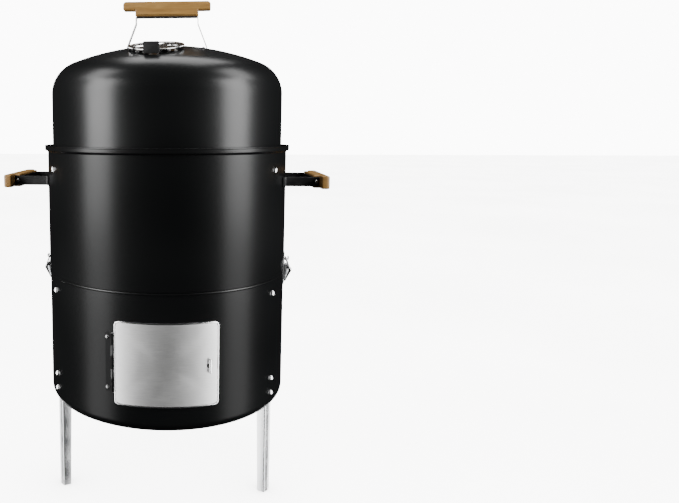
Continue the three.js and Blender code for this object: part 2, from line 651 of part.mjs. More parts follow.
function intakeDamper() {
  const low = INTAKE_TOP - SHEET;
  const disc = rod(INTAKE_RADIUS, low, INTAKE_TOP, INTAKE_FACETS);
  const tab = block([-INTAKE_TAB_HALF_WIDTH, INTAKE_TAB_HALF_WIDTH],
    [INTAKE_RADIUS - CUT_OVER, INTAKE_RADIUS + INTAKE_TAB], [low, INTAKE_TOP]);
  const holeCut = [low - CUT_OVER, INTAKE_TOP + CUT_OVER];
  const holes = ventHoles(INTAKE_HOLE, INTAKE_HOLE_CIRCLE, ...holeCut);
  return cut(join(disc, tab), ...holes, rod(BOLT_RADIUS + FIT, ...holeCut, PIN_FACETS));
}

function intakeRivet() {
  const head = INTAKE_TOP - SHEET - FIT;
  const top = BASE_BOTTOM + SHEET + FIT;
  return turned([
    [0, head - INTAKE_RIVET_HEAD], [NUT_RADIUS, head - INTAKE_RIVET_HEAD], [NUT_RADIUS, head],
    [BOLT_RADIUS, head], [BOLT_RADIUS, top], [NUT_RADIUS, top],
    [NUT_RADIUS, top + INTAKE_RIVET_HEAD], [0, top + INTAKE_RIVET_HEAD],
  ], PIN_FACETS, false);
}

// ---- the fire, the water and the food ----
function grate(radius, low) {
  const high = low + GRATE_THICKNESS;
  const rim = turned([
    [radius - GRATE_RIM, low], [radius, low], [radius, high], [radius - GRATE_RIM, high],
  ]);
  const pitch = (2 * radius) / (GRATE_BARS + 1);
  const bars = Array.from({ length: GRATE_BARS }, (_, i) => {
    const across = (i + 1) * pitch - radius;
    const half = Math.sqrt(radius ** 2 - across ** 2) - GRATE_RIM / 2;
    return box([-half, half], [across - BAR_WIDTH / 2, across + BAR_WIDTH / 2],
      [low + BAR_INSET, high - BAR_INSET]);
  });
  return join(rim, ...bars);
}

const FIRE_GRATE_LOW = BASE_BOTTOM + FIRE_GRATE_HEIGHT;
const FIRE_RING_LOW = FIRE_GRATE_LOW + GRATE_THICKNESS + FIT;

function fireRing() {
  const high = FIRE_RING_LOW + FIRE_RING_HEIGHT;
  const inner = FIRE_RING_RADIUS - SHEET;
  const whole = FIRE_RING_HEIGHT * FIRE_SLOT_SHARE;
  const wall = turned([
    [inner, FIRE_RING_LOW], [FIRE_RING_RADIUS, FIRE_RING_LOW], [FIRE_RING_RADIUS, high],
    [inner, high],
  ], FIRE_SLOTS * FACETS_PER_SLOT);
  const slots = Array.from({ length: FIRE_SLOTS }, (_, i) => {
    const slot = block([-FIRE_SLOT_HALF_WIDTH, FIRE_SLOT_HALF_WIDTH],
      [inner - CUT_OVER, FIRE_RING_RADIUS + CUT_OVER], [FIRE_RING_LOW + whole, high - whole]);
    return around(slot, ((i + 0.5) * 360) / FIRE_SLOTS);
  });
  return cut(wall, ...slots);
}

const BOWL_LOW = BOWL_LEVEL + FIT;
const BOWL_TOP = BOWL_LOW + SHEET;

function waterBowl() {
  const wall = GRATE_RADIUS - BOWL_RIM;
  const floor = BOWL_TOP - BOWL_DEPTH;
  return turned([
    [0, floor], [BOWL_FLOOR_RADIUS, floor], [BOWL_FLOOR_RADIUS + BOWL_BEND, floor + BOWL_BEND],
    [wall, BOWL_LOW], [GRATE_RADIUS, BOWL_LOW], [GRATE_RADIUS, BOWL_TOP], [wall - SHEET, BOWL_TOP],
    [BOWL_FLOOR_RADIUS + BOWL_BEND - SHEET, floor + BOWL_BEND + SHEET / 2],
    [BOWL_FLOOR_RADIUS - SHEET / 2, floor + SHEET], [0, floor + SHEET],
  ], FACETS, false);
}

// ---- the barrel ----
function barrelShell() {
  const shell = turned([
    [BARREL_INNER, SEAM], [BARREL_RADIUS, SEAM], [BARREL_RADIUS, LEDGE - SHEET],
    [LIP_RADIUS, LEDGE + LEDGE_RISE - SHEET], [LIP_RADIUS, LIP_TOP], [LIP_INNER, LIP_TOP],
    [LIP_INNER, LEDGE + LEDGE_RISE], [BARREL_INNER, LEDGE],
  ]);
  const holes = LEG_AZIMUTHS.map((azimuth) => (
    boltHole(shelfBoltLevel(UPPER_SHELF), azimuth, BARREL_RADIUS)
  ));
  return cut(shell, ...holes);
}

// Distance of the barrel's outer wall from the axis plane at some distance across.
function wallAt(across) {
  return Math.sqrt(BARREL_RADIUS ** 2 - across ** 2) + FIT;
}

const SIDE_BLOCK_FACE = SIDE_GRIP_FACE - GRIP_BAR - GRIP_BLOCK;
const SIDE_LEVEL = SEAM + SIDE_GRIP_HEIGHT;

// Two arms that clasp the grip's ends, the cross strip between them and the feet on the wall.
function sideBracket() {
  const arm = GRIP_BLOCK_LENGTH / 2 + FIT;
  const outer = arm + STRAP;
  const toe = outer + SIDE_FOOT;
  const cross = SIDE_BLOCK_FACE - FIT;
  const end = SIDE_GRIP_FACE - GRIP_BAR - FIT;
  const half = [
    [arm, cross - STRAP], [arm, wallAt(arm)], [toe, wallAt(toe) + FIT],
    [toe + SIDE_TOE_FLARE, wallAt(toe) + FIT + STRAP], [outer, wallAt(outer) + STRAP + SIDE_BEND],
    [outer, end],
    [arm, end], [arm, cross],
  ];
  const plan = [...half, ...half.map(([across, outwards]) => [-across, outwards]).reverse()];
  return raised(plan, SIDE_LEVEL - SIDE_ARM_HEIGHT / 2, SIDE_LEVEL + SIDE_ARM_HEIGHT / 2);
}

// A bamboo grip: a bar with rounded ends and a shorter block behind it; the bar's face is at zero.
function grip() {
  const half = GRIP_LENGTH / 2 - GRIP_BEVEL;
  const blockHalf = GRIP_BLOCK_LENGTH / 2 - GRIP_BEVEL;
  const face = -GRIP_BEVEL;
  const back = -GRIP_BAR + GRIP_BEVEL;
  const low = -GRIP_BAR - GRIP_BLOCK + GRIP_BEVEL;
  const corner = GRIP_CORNER_ANGLES.map(radians).map((angle) => [
    half - GRIP_CORNER + GRIP_CORNER * Math.cos(angle),
    face - GRIP_CORNER + GRIP_CORNER * Math.sin(angle),
  ]);
  const plan = outline(mirrored([[blockHalf, low], [blockHalf, back], [half, back], ...corner]));
  const bevel = { bevelThickness: GRIP_BEVEL, bevelSize: GRIP_BEVEL, bevelSegments: 1 };
  const depth = GRIP_WIDTH - 2 * GRIP_BEVEL;
  return new THREE.ExtrudeGeometry(plan, { depth, ...bevel }).translate(0, 0, -depth / 2);
}

function barrelParts() {
  const parts = [piece("barrel_shell", barrelShell(), blackPaint)];
  LEG_AZIMUTHS.forEach((azimuth, i) => {
    const name = LEG_NAMES[i];
    const shelfBolt = bolt(BARREL_RADIUS, shelfPlate(BARREL_INNER) - BRACKET,
      shelfBoltLevel(UPPER_SHELF));
    parts.push(piece(`grate_bracket_${name}`,
      hangingBracket(BARREL_RADIUS, BARREL_INNER, UPPER_SHELF), zincSteel, azimuth));
    parts.push(piece(`grate_bracket_bolt_${name}`, shelfBolt, chrome, azimuth));
  });
  LATCH_AZIMUTHS.forEach((azimuth, i) => {
    const wood = grip().rotateX(Math.PI).translate(0, -SIDE_GRIP_FACE, SIDE_LEVEL);
    parts.push(piece(`handle_bracket_${SIDES[i]}`, sideBracket(), blackPaint, azimuth));
    parts.push(piece(`handle_grip_${SIDES[i]}`, wood, bamboo, azimuth));
    parts.push(piece(`latch_hook_${SIDES[i]}`, latchHook(), chrome, azimuth));
  });
  return parts;
}

// ---- the latches over the seam ----
const fromSeam = ([outwards, up]) => [BARREL_RADIUS + outwards, SEAM + up];

function latchHook() {
  const back = FIT;
  const ledge = BAIL_TOP[1] - BAIL_WIRE - FIT;
  const path = [
    [back, HOOK_PLATE[1]], [back, ledge - STRAP], [HOOK_LIP + STRAP, ledge - STRAP],
    [HOOK_LIP + STRAP, HOOK_LIP_TOP],
  ].map(fromSeam);
  const hook = widened(ribbon(path, STRAP), -HOOK_HALF_WIDTH, HOOK_HALF_WIDTH);
  const foot = block([-HOOK_HALF_WIDTH, HOOK_HALF_WIDTH],
    [BARREL_RADIUS + back, BARREL_RADIUS + back + STRAP],
    [SEAM + HOOK_PLATE[0], SEAM + ledge - STRAP / 2]);
  return join(hook, foot);
}

function crossPin(point, from, to, radius) {
  const [outwards, up] = fromSeam(point);
  return rod(radius, from, to, PIN_FACETS).rotateY(Math.PI / 2).translate(0, -outwards, up);
}

function latchPlate() {
  const back = BASE_RADIUS + FIT - BARREL_RADIUS;
  const plate = block([-EAR_INNER - EAR_THICKNESS, EAR_INNER + EAR_THICKNESS],
    [BASE_RADIUS + FIT, BASE_RADIUS + FIT + BRACKET], LATCH_PLATE.map((up) => SEAM + up));
  const clear = BEAD_PROUD + FIT;
  const ear = outline([
    [back + EAR_LIFT, EAR_BACK[0]], ...EAR_FRONT, ...EAR_NOTCH.map((up) => [clear, up]),
    [back + EAR_LIFT, EAR_BACK[1]],
  ].map(fromSeam));
  const ears = [-EAR_INNER - EAR_THICKNESS, EAR_INNER].map((from) => (
    widened(ear, from, from + EAR_THICKNESS)
  ));
  const bore = crossPin(LEVER_PIVOT, -HOLE_REACH, HOLE_REACH, LATCH_BORE);
  return cut(join(plate, ...ears), bore);
}

function latchLever() {
  const [pivotOut, pivotUp] = LEVER_PIVOT;
  const [bailOut, bailUp] = BAIL_PIVOT;
  const [tipOut, tipUp] = LEVER_TIP;
  const nose = bailOut + LATCH_BOSS * LEVER_NOSE[0];
  const side = outline([
    [pivotOut - LATCH_BOSS, pivotUp], [tipOut + LEVER_KNEE[0], pivotUp + LEVER_KNEE[1]],
    [tipOut - LEVER_TIP_HALF, tipUp], [tipOut + LEVER_TIP_HALF, tipUp],
    [nose, bailUp + LEVER_NOSE[1]], [nose, bailUp + LEVER_NOSE[2]],
    ...LEVER_HEEL.map((out) => [pivotOut + out, pivotUp + LATCH_BOSS]),
  ].map(fromSeam));
  const arm = widened(side, -LEVER_HALF_WIDTH, LEVER_HALF_WIDTH);
  const reach = EAR_INNER + EAR_THICKNESS + FIT;
  const pin = crossPin(LEVER_PIVOT, -reach, reach, LATCH_PIN);
  return cut(join(arm, pin), crossPin(BAIL_PIVOT, -HOLE_REACH, HOLE_REACH, LATCH_BORE));
}

// A wire bail: a cross wire behind the hook, two arms and two short ends in the lever.
function latchBail() {
  const top = BAIL_HALF_WIDTH;
  const cross = crossPin(BAIL_TOP, -top - BAIL_WIRE, top + BAIL_WIRE, BAIL_WIRE);
  const stub = LATCH_BORE - FIT;
  const [lowOut, lowUp] = fromSeam(BAIL_PIVOT);
  const [highOut, highUp] = fromSeam(BAIL_TOP);
  const low = new THREE.Vector3(0, -lowOut, lowUp);
  const high = new THREE.Vector3(0, -highOut, highUp);
  const along = high.clone().sub(low);
  const turn = new THREE.Quaternion().setFromUnitVectors(
    new THREE.Vector3(0, 0, 1), along.clone().normalize());
  const arms = [-top, top].map((across) => rod(BAIL_WIRE, 0, along.length(), PIN_FACETS)
    .applyQuaternion(turn).translate(across, low.y, low.z));
  const ends = [[-top, -BAIL_END], [BAIL_END, top]]
    .map(([from, to]) => crossPin(BAIL_PIVOT, from, to, stub));
  return join(cross, ...arms, ...ends);
}

function latchParts() {
  return LATCH_AZIMUTHS.flatMap((azimuth, i) => [
    piece(`latch_plate_${SIDES[i]}`, latchPlate(), zincSteel, azimuth),
    piece(`latch_lever_${SIDES[i]}`, latchLever(), blackPaint, azimuth),
    piece(`latch_bail_${SIDES[i]}`, latchBail(), chrome, azimuth),
  ]);
}

// ---- the lid ----
// A domed end's profile from its wall to its crown: a knuckle arc and then a crown arc.
function dome(wallRadius, knuckle, crown, top) {
  const offset = Math.sqrt((crown - knuckle) ** 2 - (wallRadius - knuckle) ** 2);
  const centre = top - crown + offset;
  const meet = Math.atan2(wallRadius - knuckle, offset);
  const bend = Array.from({ length: DOME_BENDS + 1 }, (_, i) => {
    const angle = (i / DOME_BENDS) * (Math.PI / 2 - meet);
    return [wallRadius - knuckle + knuckle * Math.cos(angle), centre + knuckle * Math.sin(angle)];
  });
  const cap = Array.from({ length: DOME_RINGS }, (_, i) => {
    const angle = meet * (1 - (i + 1) / DOME_RINGS);
    return [crown * Math.sin(angle), top - crown + crown * Math.cos(angle)];
  });
  return [...bend, ...cap];
}

// The damper's frame: at its middle on the dome, with Z along the dome's normal.
const DAMPER_SLOPE = Math.asin(DAMPER_FROM_AXIS / LID_CROWN);
const damperFrame = new THREE.Matrix4()
  .makeRotationZ(radians(DAMPER_AZIMUTH))
  .multiply(new THREE.Matrix4().makeTranslation(0, -DAMPER_FROM_AXIS, domeHeight(DAMPER_FROM_AXIS)))
  .multiply(new THREE.Matrix4().makeRotationX(DAMPER_SLOPE));

function lidShell() {
  const flangeOuter = LIP_INNER - LIP_SLIP;
  const inner = LID_RADIUS - SHEET;
  const flangeTop = LID_BOTTOM + LID_FLANGE;
  const shell = turned([
    [inner + LID_FOLD, LID_BOTTOM], [flangeOuter, LID_BOTTOM], [flangeOuter, flangeTop],
    [LID_RADIUS + LID_FOLD, flangeTop], [LID_RADIUS, flangeTop + LID_FOLD],
    ...dome(LID_RADIUS, LID_KNUCKLE, LID_CROWN, CROWN_TOP),
    ...dome(inner, LID_KNUCKLE - SHEET, LID_CROWN - SHEET, CROWN_TOP - SHEET).reverse(),
    [inner, flangeTop],
  ]);
  const vents = ventHoles(DAMPER_HOLE - VENT_INSET, DAMPER_HOLE_CIRCLE, -CUT_OVER, CUT_OVER);
  const rivetHole = rod(BOLT_RADIUS + FIT, -CUT_OVER, CUT_OVER, PIN_FACETS);
  return cut(shell, ...[...vents, rivetHole].map((tool) => tool.applyMatrix4(damperFrame)));
}

const DISC_TOP = DAMPER_GAP + DAMPER_THICKNESS;

function damperDisc() {
  const disc = rod(DAMPER_RADIUS, DAMPER_GAP, DISC_TOP, DAMPER_FACETS);
  const holeCut = [DAMPER_GAP - CUT_OVER, DISC_TOP + CUT_OVER];
  const holes = ventHoles(DAMPER_HOLE, DAMPER_HOLE_CIRCLE, ...holeCut);
  return cut(disc, ...holes, rod(BOLT_RADIUS + FIT, ...holeCut, PIN_FACETS));
}

// The tab stands up in front of the disc and is held by a foot that lies on the disc's edge.
function damperTab() {
  const upright = DAMPER_RADIUS + TAB_CLEAR;
  const top = TAB_LOW + TAB_HEIGHT;
  const low = DISC_TOP + FIT;
  const path = [
    [DAMPER_RADIUS - TAB_LAP, low + TAB_THICKNESS], [upright, low + TAB_THICKNESS], [upright, top],
  ];
  const foot = widened(ribbon(path.reverse(), TAB_THICKNESS), -TAB_WIDTH / 2, TAB_WIDTH / 2);
  const apron = block([-TAB_WIDTH / 2, TAB_WIDTH / 2], [upright, upright + TAB_THICKNESS],
    [TAB_LOW, top]);
  return join(apron, foot);
}

function damperRivet() {
  const under = -SHEET - FIT - RIVET_CLEAR;
  const top = DISC_TOP + FIT;
  return turned([
    [0, under - RIVET_HEAD], [NUT_RADIUS, under - RIVET_HEAD], [NUT_RADIUS, under],
    [BOLT_RADIUS, under], [BOLT_RADIUS, top], [NUT_RADIUS, top],
    [NUT_RADIUS * RIVET_SHOULDER, top + RIVET_HEAD], [0, top + RIVET_TOP],
  ], PIN_FACETS, false);
}

function lidStrap() {
  const cross = LID_GRIP_FACE - GRIP_BAR - GRIP_BLOCK - FIT;
  const side = GRIP_BLOCK_LENGTH / 2;
  const onDome = (across) => domeHeight(Math.hypot(across, LID_STRAP_WIDTH / 2)) + 2 * FIT;
  const half = [
    [LID_FOOT_AT - LID_FOOT_LENGTH, onDome(LID_FOOT_AT - LID_FOOT_LENGTH)],
    [LID_FOOT_AT, onDome(LID_FOOT_AT)], [side, cross - LID_STRAP_BEND], [side, cross],
  ];
  const strap = extruded(ribbon(mirrored(half), STRAP), LID_STRAP_WIDTH);
  return strap.rotateX(Math.PI / 2).translate(0, LID_STRAP_WIDTH / 2, 0);
}

function lidParts() {
  const wood = grip().rotateX(Math.PI / 2).translate(0, 0, LID_GRIP_FACE);
  const damper = new THREE.Group();
  damper.applyMatrix4(damperFrame);
  damper.add(
    piece("damper_disc", damperDisc(), chrome),
    piece("damper_tab", damperTab(), blackPlastic),
    piece("damper_rivet", damperRivet(), chrome),
  );
  return [
    piece("lid_shell", lidShell(), blackPaint),
    piece("lid_handle_strap", lidStrap(), chrome),
    piece("lid_grip", wood, bamboo),
    damper,
  ];
}

// ---- the smoker ----
const smoker = new THREE.Group();
smoker.add(
  ...baseParts(),
  ...doorParts(),
  piece("intake_damper", intakeDamper(), zincSteel),
  piece("intake_rivet", intakeRivet(), zincSteel),
  piece("charcoal_grate", grate(FIRE_GRATE_RADIUS, FIRE_GRATE_LOW), gratingSteel),
  piece("charcoal_ring", fireRing(), enamel),
  piece("water_bowl", waterBowl(), enamel),
  piece("lower_grate", grate(GRATE_RADIUS, BOWL_TOP + FIT), gratingSteel),
  ...barrelParts(),
  piece("upper_grate", grate(GRATE_RADIUS, UPPER_SHELF + FIT), gratingSteel),
  ...latchParts(),
  ...lidParts(),
);

export default smoker;
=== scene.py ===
"""Looks of a vertical water smoker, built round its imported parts.

Shapes are worked out in millimetres as numpy arrays and put into metres when their mesh is made.
Azimuths are in degrees about +Z: 0 is the front, where the fire door is, and 90 is the right.
"""

import json
import math

import bmesh
import bpy
import numpy as np
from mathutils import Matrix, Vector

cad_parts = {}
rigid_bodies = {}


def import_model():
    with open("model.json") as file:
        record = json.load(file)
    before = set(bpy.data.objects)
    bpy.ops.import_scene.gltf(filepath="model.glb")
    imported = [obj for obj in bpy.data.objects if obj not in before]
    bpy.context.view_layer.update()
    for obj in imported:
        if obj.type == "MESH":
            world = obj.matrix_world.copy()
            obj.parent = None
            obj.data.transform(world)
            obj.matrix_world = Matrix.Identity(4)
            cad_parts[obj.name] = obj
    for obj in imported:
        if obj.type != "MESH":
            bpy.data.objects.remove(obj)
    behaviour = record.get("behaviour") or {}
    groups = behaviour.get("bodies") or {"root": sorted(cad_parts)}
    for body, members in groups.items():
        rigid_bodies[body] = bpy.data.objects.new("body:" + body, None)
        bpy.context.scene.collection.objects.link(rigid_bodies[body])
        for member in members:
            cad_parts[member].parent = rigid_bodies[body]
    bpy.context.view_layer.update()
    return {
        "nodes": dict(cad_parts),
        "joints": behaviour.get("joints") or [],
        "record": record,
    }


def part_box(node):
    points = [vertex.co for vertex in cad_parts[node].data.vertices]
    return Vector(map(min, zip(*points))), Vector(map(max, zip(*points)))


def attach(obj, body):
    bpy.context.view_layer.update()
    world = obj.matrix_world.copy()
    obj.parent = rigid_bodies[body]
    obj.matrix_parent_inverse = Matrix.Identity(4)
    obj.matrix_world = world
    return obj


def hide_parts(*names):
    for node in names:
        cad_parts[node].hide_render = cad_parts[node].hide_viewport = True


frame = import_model()

MM = 0.001
FIT = 0.3          # clearance between two parts that meet
SHEET = 1.2
STRAP = 1.6
BEAD = 1.2
COLUMNS = 192      # steps round a drum
FLAT_OF_48 = math.cos(math.pi / 48)   # share of its radius at which a 48-sided wall's flats stand
# A wooden grip is a bar with a shorter block behind it.
GRIP_LENGTH, GRIP_BLOCK, GRIP_WIDTH, BAR_DEPTH, BLOCK_DEPTH = 157, 113, 22.5, 15, 10.5
LEG_AZIMUTHS = {"left": -60.0, "right": 60.0, "rear": 180.0}
SIDE_AZIMUTHS = {"left": -90.0, "right": 90.0}


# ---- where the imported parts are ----
def corners(node):
    """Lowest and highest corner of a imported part, in millimetres."""
    low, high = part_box(node)
    return np.array(low) / MM, np.array(high) / MM


def middle(node):
    low, high = corners(node)
    return (low + high) / 2


def joint(name):
    return next(j for j in frame["joints"] if j["name"] == name)


BASE_LOW, BASE_HIGH = corners("base_shell")
BARREL_LOW, BARREL_HIGH = corners("barrel_shell")
LID_LOW, LID_HIGH = corners("lid_shell")
DOOR_LOW, DOOR_HIGH = corners("door_panel")
BASE_RADIUS = BASE_HIGH[0] - BEAD
BARREL_RADIUS = BASE_RADIUS + 1
LIP_RADIUS = BARREL_HIGH[0]
LID_RADIUS = BARREL_RADIUS - 9
SEAM = BARREL_LOW[2]
LEDGE = LID_LOW[2] - 2.3
LID_CROWN = 460
LID_KNUCKLE = 58
BASE_CORNER = 18


# ---- plane curves ----
def arc(centre, radius, start, end, steps):
    """Points of a circle: the centre plus radius times (cos, sin) of an angle stepped evenly."""
    turn = np.radians(np.linspace(start, end, steps + 1))
    return np.column_stack((centre[0] + radius * np.cos(turn), centre[1] + radius * np.sin(turn)))


def filleted(points, radii, steps=5, closed=False):
    """A bent line with each corner changed for an arc that touches both of its sides.

    The arc starts radius * tan(half the turn) before the corner and ends as far after it.
    """
    points = np.asarray(points, float)
    radii = np.broadcast_to(np.asarray(radii, float), (len(points),))
    line = []
    for i, corner in enumerate(points):
        before, after = points[i - 1], points[(i + 1) % len(points)]
        ends = not closed and i in (0, len(points) - 1)
        if ends or radii[i] <= 0:
            line.append(corner[None])
            continue
        back = (before - corner) / np.linalg.norm(before - corner)
        on = (after - corner) / np.linalg.norm(after - corner)
        half = math.acos(np.clip(back @ on, -1, 1)) / 2
        reach = radii[i] / math.tan(half)
        bisector = (back + on) / np.linalg.norm(back + on)
        centre = corner + bisector * radii[i] / math.sin(half)
        first = corner + back * reach - centre
        last = corner + on * reach - centre
        share = np.linspace(0, 1, steps + 1)[:, None]
        full = math.pi - 2 * half
        blend = np.sin((1 - share) * full) * first + np.sin(share * full) * last
        line.append(centre + blend / math.sin(full))
    return np.concatenate(line)


def at_azimuth(radius, turn):
    """Plan points at a radius and at azimuths in radians."""
    return np.column_stack((radius * np.sin(turn), -radius * np.cos(turn)))


def rectangle_loop(across, up):
    """Points round a rectangle from its lowest left corner, at the given steps across and up."""
    return np.array([(x, up[0]) for x in across[:-1]] + [(across[-1], z) for z in up[:-1]]
                    + [(x, up[-1]) for x in across[:0:-1]] + [(across[0], z) for z in up[:0:-1]])


def divided(start, end, steps):
    """Even points of a straight line, both ends kept."""
    return np.linspace(np.asarray(start, float), np.asarray(end, float), steps + 1)


def band(line, thickness):
    """A closed outline: a bent line, and the same line moved to its left, walked back."""
    along = np.gradient(line, axis=0)
    along /= np.linalg.norm(along, axis=1)[:, None]
    left = np.column_stack((-along[:, 1], along[:, 0]))
    return np.concatenate((line, (line + left * thickness)[::-1]))


def rounded_rectangle(half_width, half_height, corner, steps=4):
    """Closed outline of a rectangle about zero with quarter circles for its corners."""
    w, h = half_width, half_height
    return filleted([[w, -h], [w, h], [-w, h], [-w, -h]], corner, steps, closed=True)


# ---- surfaces ----
def grid_faces(rows, columns, wrap, keep=None):
    """Corner numbers of the four-sided cells of a grid, row by row."""
    number = np.arange(rows * columns).reshape(rows, columns)
    cells_high = rows if wrap[0] else rows - 1
    cells_wide = columns if wrap[1] else columns - 1
    next_row = np.roll(number, -1, 0)
    next_column = np.roll(number, -1, 1)
    both = np.roll(next_row, -1, 1)
    cut = (slice(0, cells_high), slice(0, cells_wide))
    quads = np.stack((number[cut], next_row[cut], both[cut], next_column[cut]), -1)
    return quads[keep] if keep is not None else quads.reshape(-1, 4)


class Skin:
    """Grids of points and flat caps that are welded into one closed skin."""

    def __init__(self):
        self.points, self.faces, self.count = [], [], 0

    def grid(self, points, wrap=(False, False), flip=False, keep=None):
        points = np.asarray(points, float)
        quads = grid_faces(points.shape[0], points.shape[1], wrap, keep) + self.count
        self.faces += (quads[:, ::-1] if flip else quads).tolist()
        self.points.append(points.reshape(-1, 3))
        self.count += points.shape[0] * points.shape[1]
        return self

    def cap(self, loop, flip=False):
        number = np.arange(len(loop)) + self.count
        self.faces.append((number[::-1] if flip else number).tolist())
        self.points.append(np.asarray(loop, float))
        self.count += len(loop)
        return self

    def solid(self):
        """The skin as (points, faces), turned so that the volume inside it is positive."""
        points = np.concatenate(self.points)
        fans = [[f[0], f[i], f[i + 1]] for f in self.faces for i in range(1, len(f) - 1)]
        a, b, c = points[np.array(fans).T]
        inside = np.einsum("ij,ij->i", a, np.cross(b, c)).sum()
        faces = [f[::-1] for f in self.faces] if inside < 0 else self.faces
        return points, faces


def revolved(profile, closed=True, columns=COLUMNS, keep=None):
    """Surface of revolution: (r sin a, -r cos a, z) for each profile point and each azimuth a."""
    turn = np.linspace(0, 2 * np.pi, columns, endpoint=False)[:, None]
    radius, height = profile[:, 0][None], profile[:, 1][None]
    points = np.stack((radius * np.sin(turn), -radius * np.cos(turn), height + 0 * turn), -1)
    return Skin().grid(points, (True, closed), keep=keep)


def swept(path, section, reference, closed=False):
    """A section carried along a path: side is across the path and the reference, up completes them."""
    path = np.asarray(path, float)
    if closed:
        along = np.roll(path, -1, 0) - np.roll(path, 1, 0)
    else:
        along = np.gradient(path, axis=0)
    along /= np.linalg.norm(along, axis=1)[:, None]
    side = np.cross(along, np.asarray(reference, float))
    side /= np.linalg.norm(side, axis=1)[:, None]
    up = np.cross(side, along)
    points = (path[:, None] + side[:, None] * section[None, :, :1]
              + up[:, None] * section[None, :, 1:])
    skin = Skin().grid(points, (closed, True))
    if not closed:
        skin.cap(points[0]).cap(points[-1], flip=True)
    return skin.solid()


def wire(path, radius, reference=(0, 0, 1), sides=12, closed=False):
    """A round wire along a path: a circle carried along it, with flat ends if it is open."""
    turn = np.linspace(0, 2 * np.pi, sides, endpoint=False)
    section = radius * np.column_stack((np.cos(turn), np.sin(turn)))
    return swept(path, section, reference, closed)


def pillow(outline, low, high, bevel, steps=3):
    """An outline raised from low to high; its edges follow a quarter circle of the bevel's radius."""
    outline = np.asarray(outline, float)
    along = np.roll(outline, -1, 0) - np.roll(outline, 1, 0)
    along /= np.maximum(np.linalg.norm(along, axis=1), 1e-9)[:, None]
    outwards = np.column_stack((along[:, 1], -along[:, 0]))
    turn = np.radians(np.linspace(0, 90, steps + 1))
    inset = bevel * (1 - np.sin(turn))
    rise = bevel * (1 - np.cos(turn))
    inset = np.concatenate((inset, inset[::-1]))
    level = np.concatenate((low + rise, (high - rise)[::-1]))
    plan = outline[:, None] - outwards[:, None] * inset[None, :, None]
    points = np.concatenate((plan, np.broadcast_to(level[None, :, None], plan.shape[:2] + (1,))), -1)
    skin = Skin().grid(points, (True, False))
    return skin.cap(points[:, 0], flip=True).cap(points[:, -1]).solid()


def spun(profile, sides=28):
    """A turned pin: profile of (radius, distance along Z), about Z."""
    turn = np.linspace(0, 2 * np.pi, sides, endpoint=False)[:, None]
    radius, along = profile[:, 0][None], profile[:, 1][None]
    points = np.stack((radius * np.cos(turn), radius * np.sin(turn), along + 0 * turn), -1)
    return Skin().grid(points, (True, False)).solid()


def domed(stem, level, radius, start, steps):
    """A turned pin that ends in a dome: an arc of a circle about a level on its axis."""
    return spun(np.concatenate((stem, arc((0, level), radius, start, 90, steps))))


def placed(solid, origin=(0, 0, 0), x=(1, 0, 0), y=(0, 1, 0), z=(0, 0, 1)):
    """The solid with its own X, Y and Z laid along three directions from an origin."""
    points, faces = solid
    return points @ np.array([x, y, z], float) + np.asarray(origin, float), faces


def around(solid, azimuth):
    """The solid turned about Z, from the front to an azimuth."""
    c, s = math.cos(math.radians(azimuth)), math.sin(math.radians(azimuth))
    return placed(solid, x=(c, s, 0), y=(-s, c, 0))


def facing(solid, across=0.0, level=0.0):
    """A solid made about Z laid so that its Z looks outwards at the front, and its Y up."""
    return placed(solid, (across, 0, level), x=(1, 0, 0), y=(0, 0, 1), z=(0, -1, 0))


# ---- sheets with holes: loops in a flat domain, carried onto the two faces of the sheet ----
def rays(loop, centre, radius):
    """The points of a circle that lie towards each point of a loop."""
    away = loop - centre
    return centre + radius * away / np.linalg.norm(away, axis=1)[:, None]


def between(outer, inner, steps):
    """Grid of the ring between two loops: outer * (1 - s) + inner * s, with s from 0 to 1."""
    share = np.linspace(0, 1, steps + 1)[None, :, None]
    return outer[:, None] * (1 - share) + inner[:, None] * share


def sheet_ring(skin, ring, front, back, hole=True):
    """A ring of a flat domain on both faces of a sheet, and the wall of the hole inside it."""
    skin.grid(front(ring), (True, False))
    skin.grid(back(ring), (True, False), flip=True)
    if hole:
        edge = ring[:, -1]
        skin.grid(np.stack((front(edge), back(edge)), 1), (True, False))


def four_holes(skin, radius, circle, hole, hub, per_quarter, turn, centre, front, back):
    """A disc with four round holes: each quarter is a ring between its border and its hole."""
    for quarter in range(4):
        mid = math.radians(turn + 90 * quarter)
        span = np.linspace(-math.pi / 4, math.pi / 4, per_quarter + 1)

        rim = at_azimuth(radius, mid + span) + centre
        near = at_azimuth(hub, mid + np.array([math.pi / 4, -math.pi / 4])) + centre
        side = divided(rim[-1], near[0], 8)
        chord = divided(near[0], near[1], 6)
        home = divided(near[1], rim[0], 8)
        loop = np.concatenate((rim[:-1], side[:-1], chord[:-1], home[:-1]))
        middle_of_hole = at_azimuth(circle, np.array([mid]))[0] + centre
        sheet_ring(skin, between(loop, rays(loop, middle_of_hole, hole), 5), front, back)
    corner = at_azimuth(hub, np.radians(turn - 45 + 90 * np.arange(5))) + centre
    square = np.concatenate([divided(corner[i], corner[i + 1], 6)[:-1] for i in range(4)])
    skin.cap(front(square)).cap(back(square), flip=True)


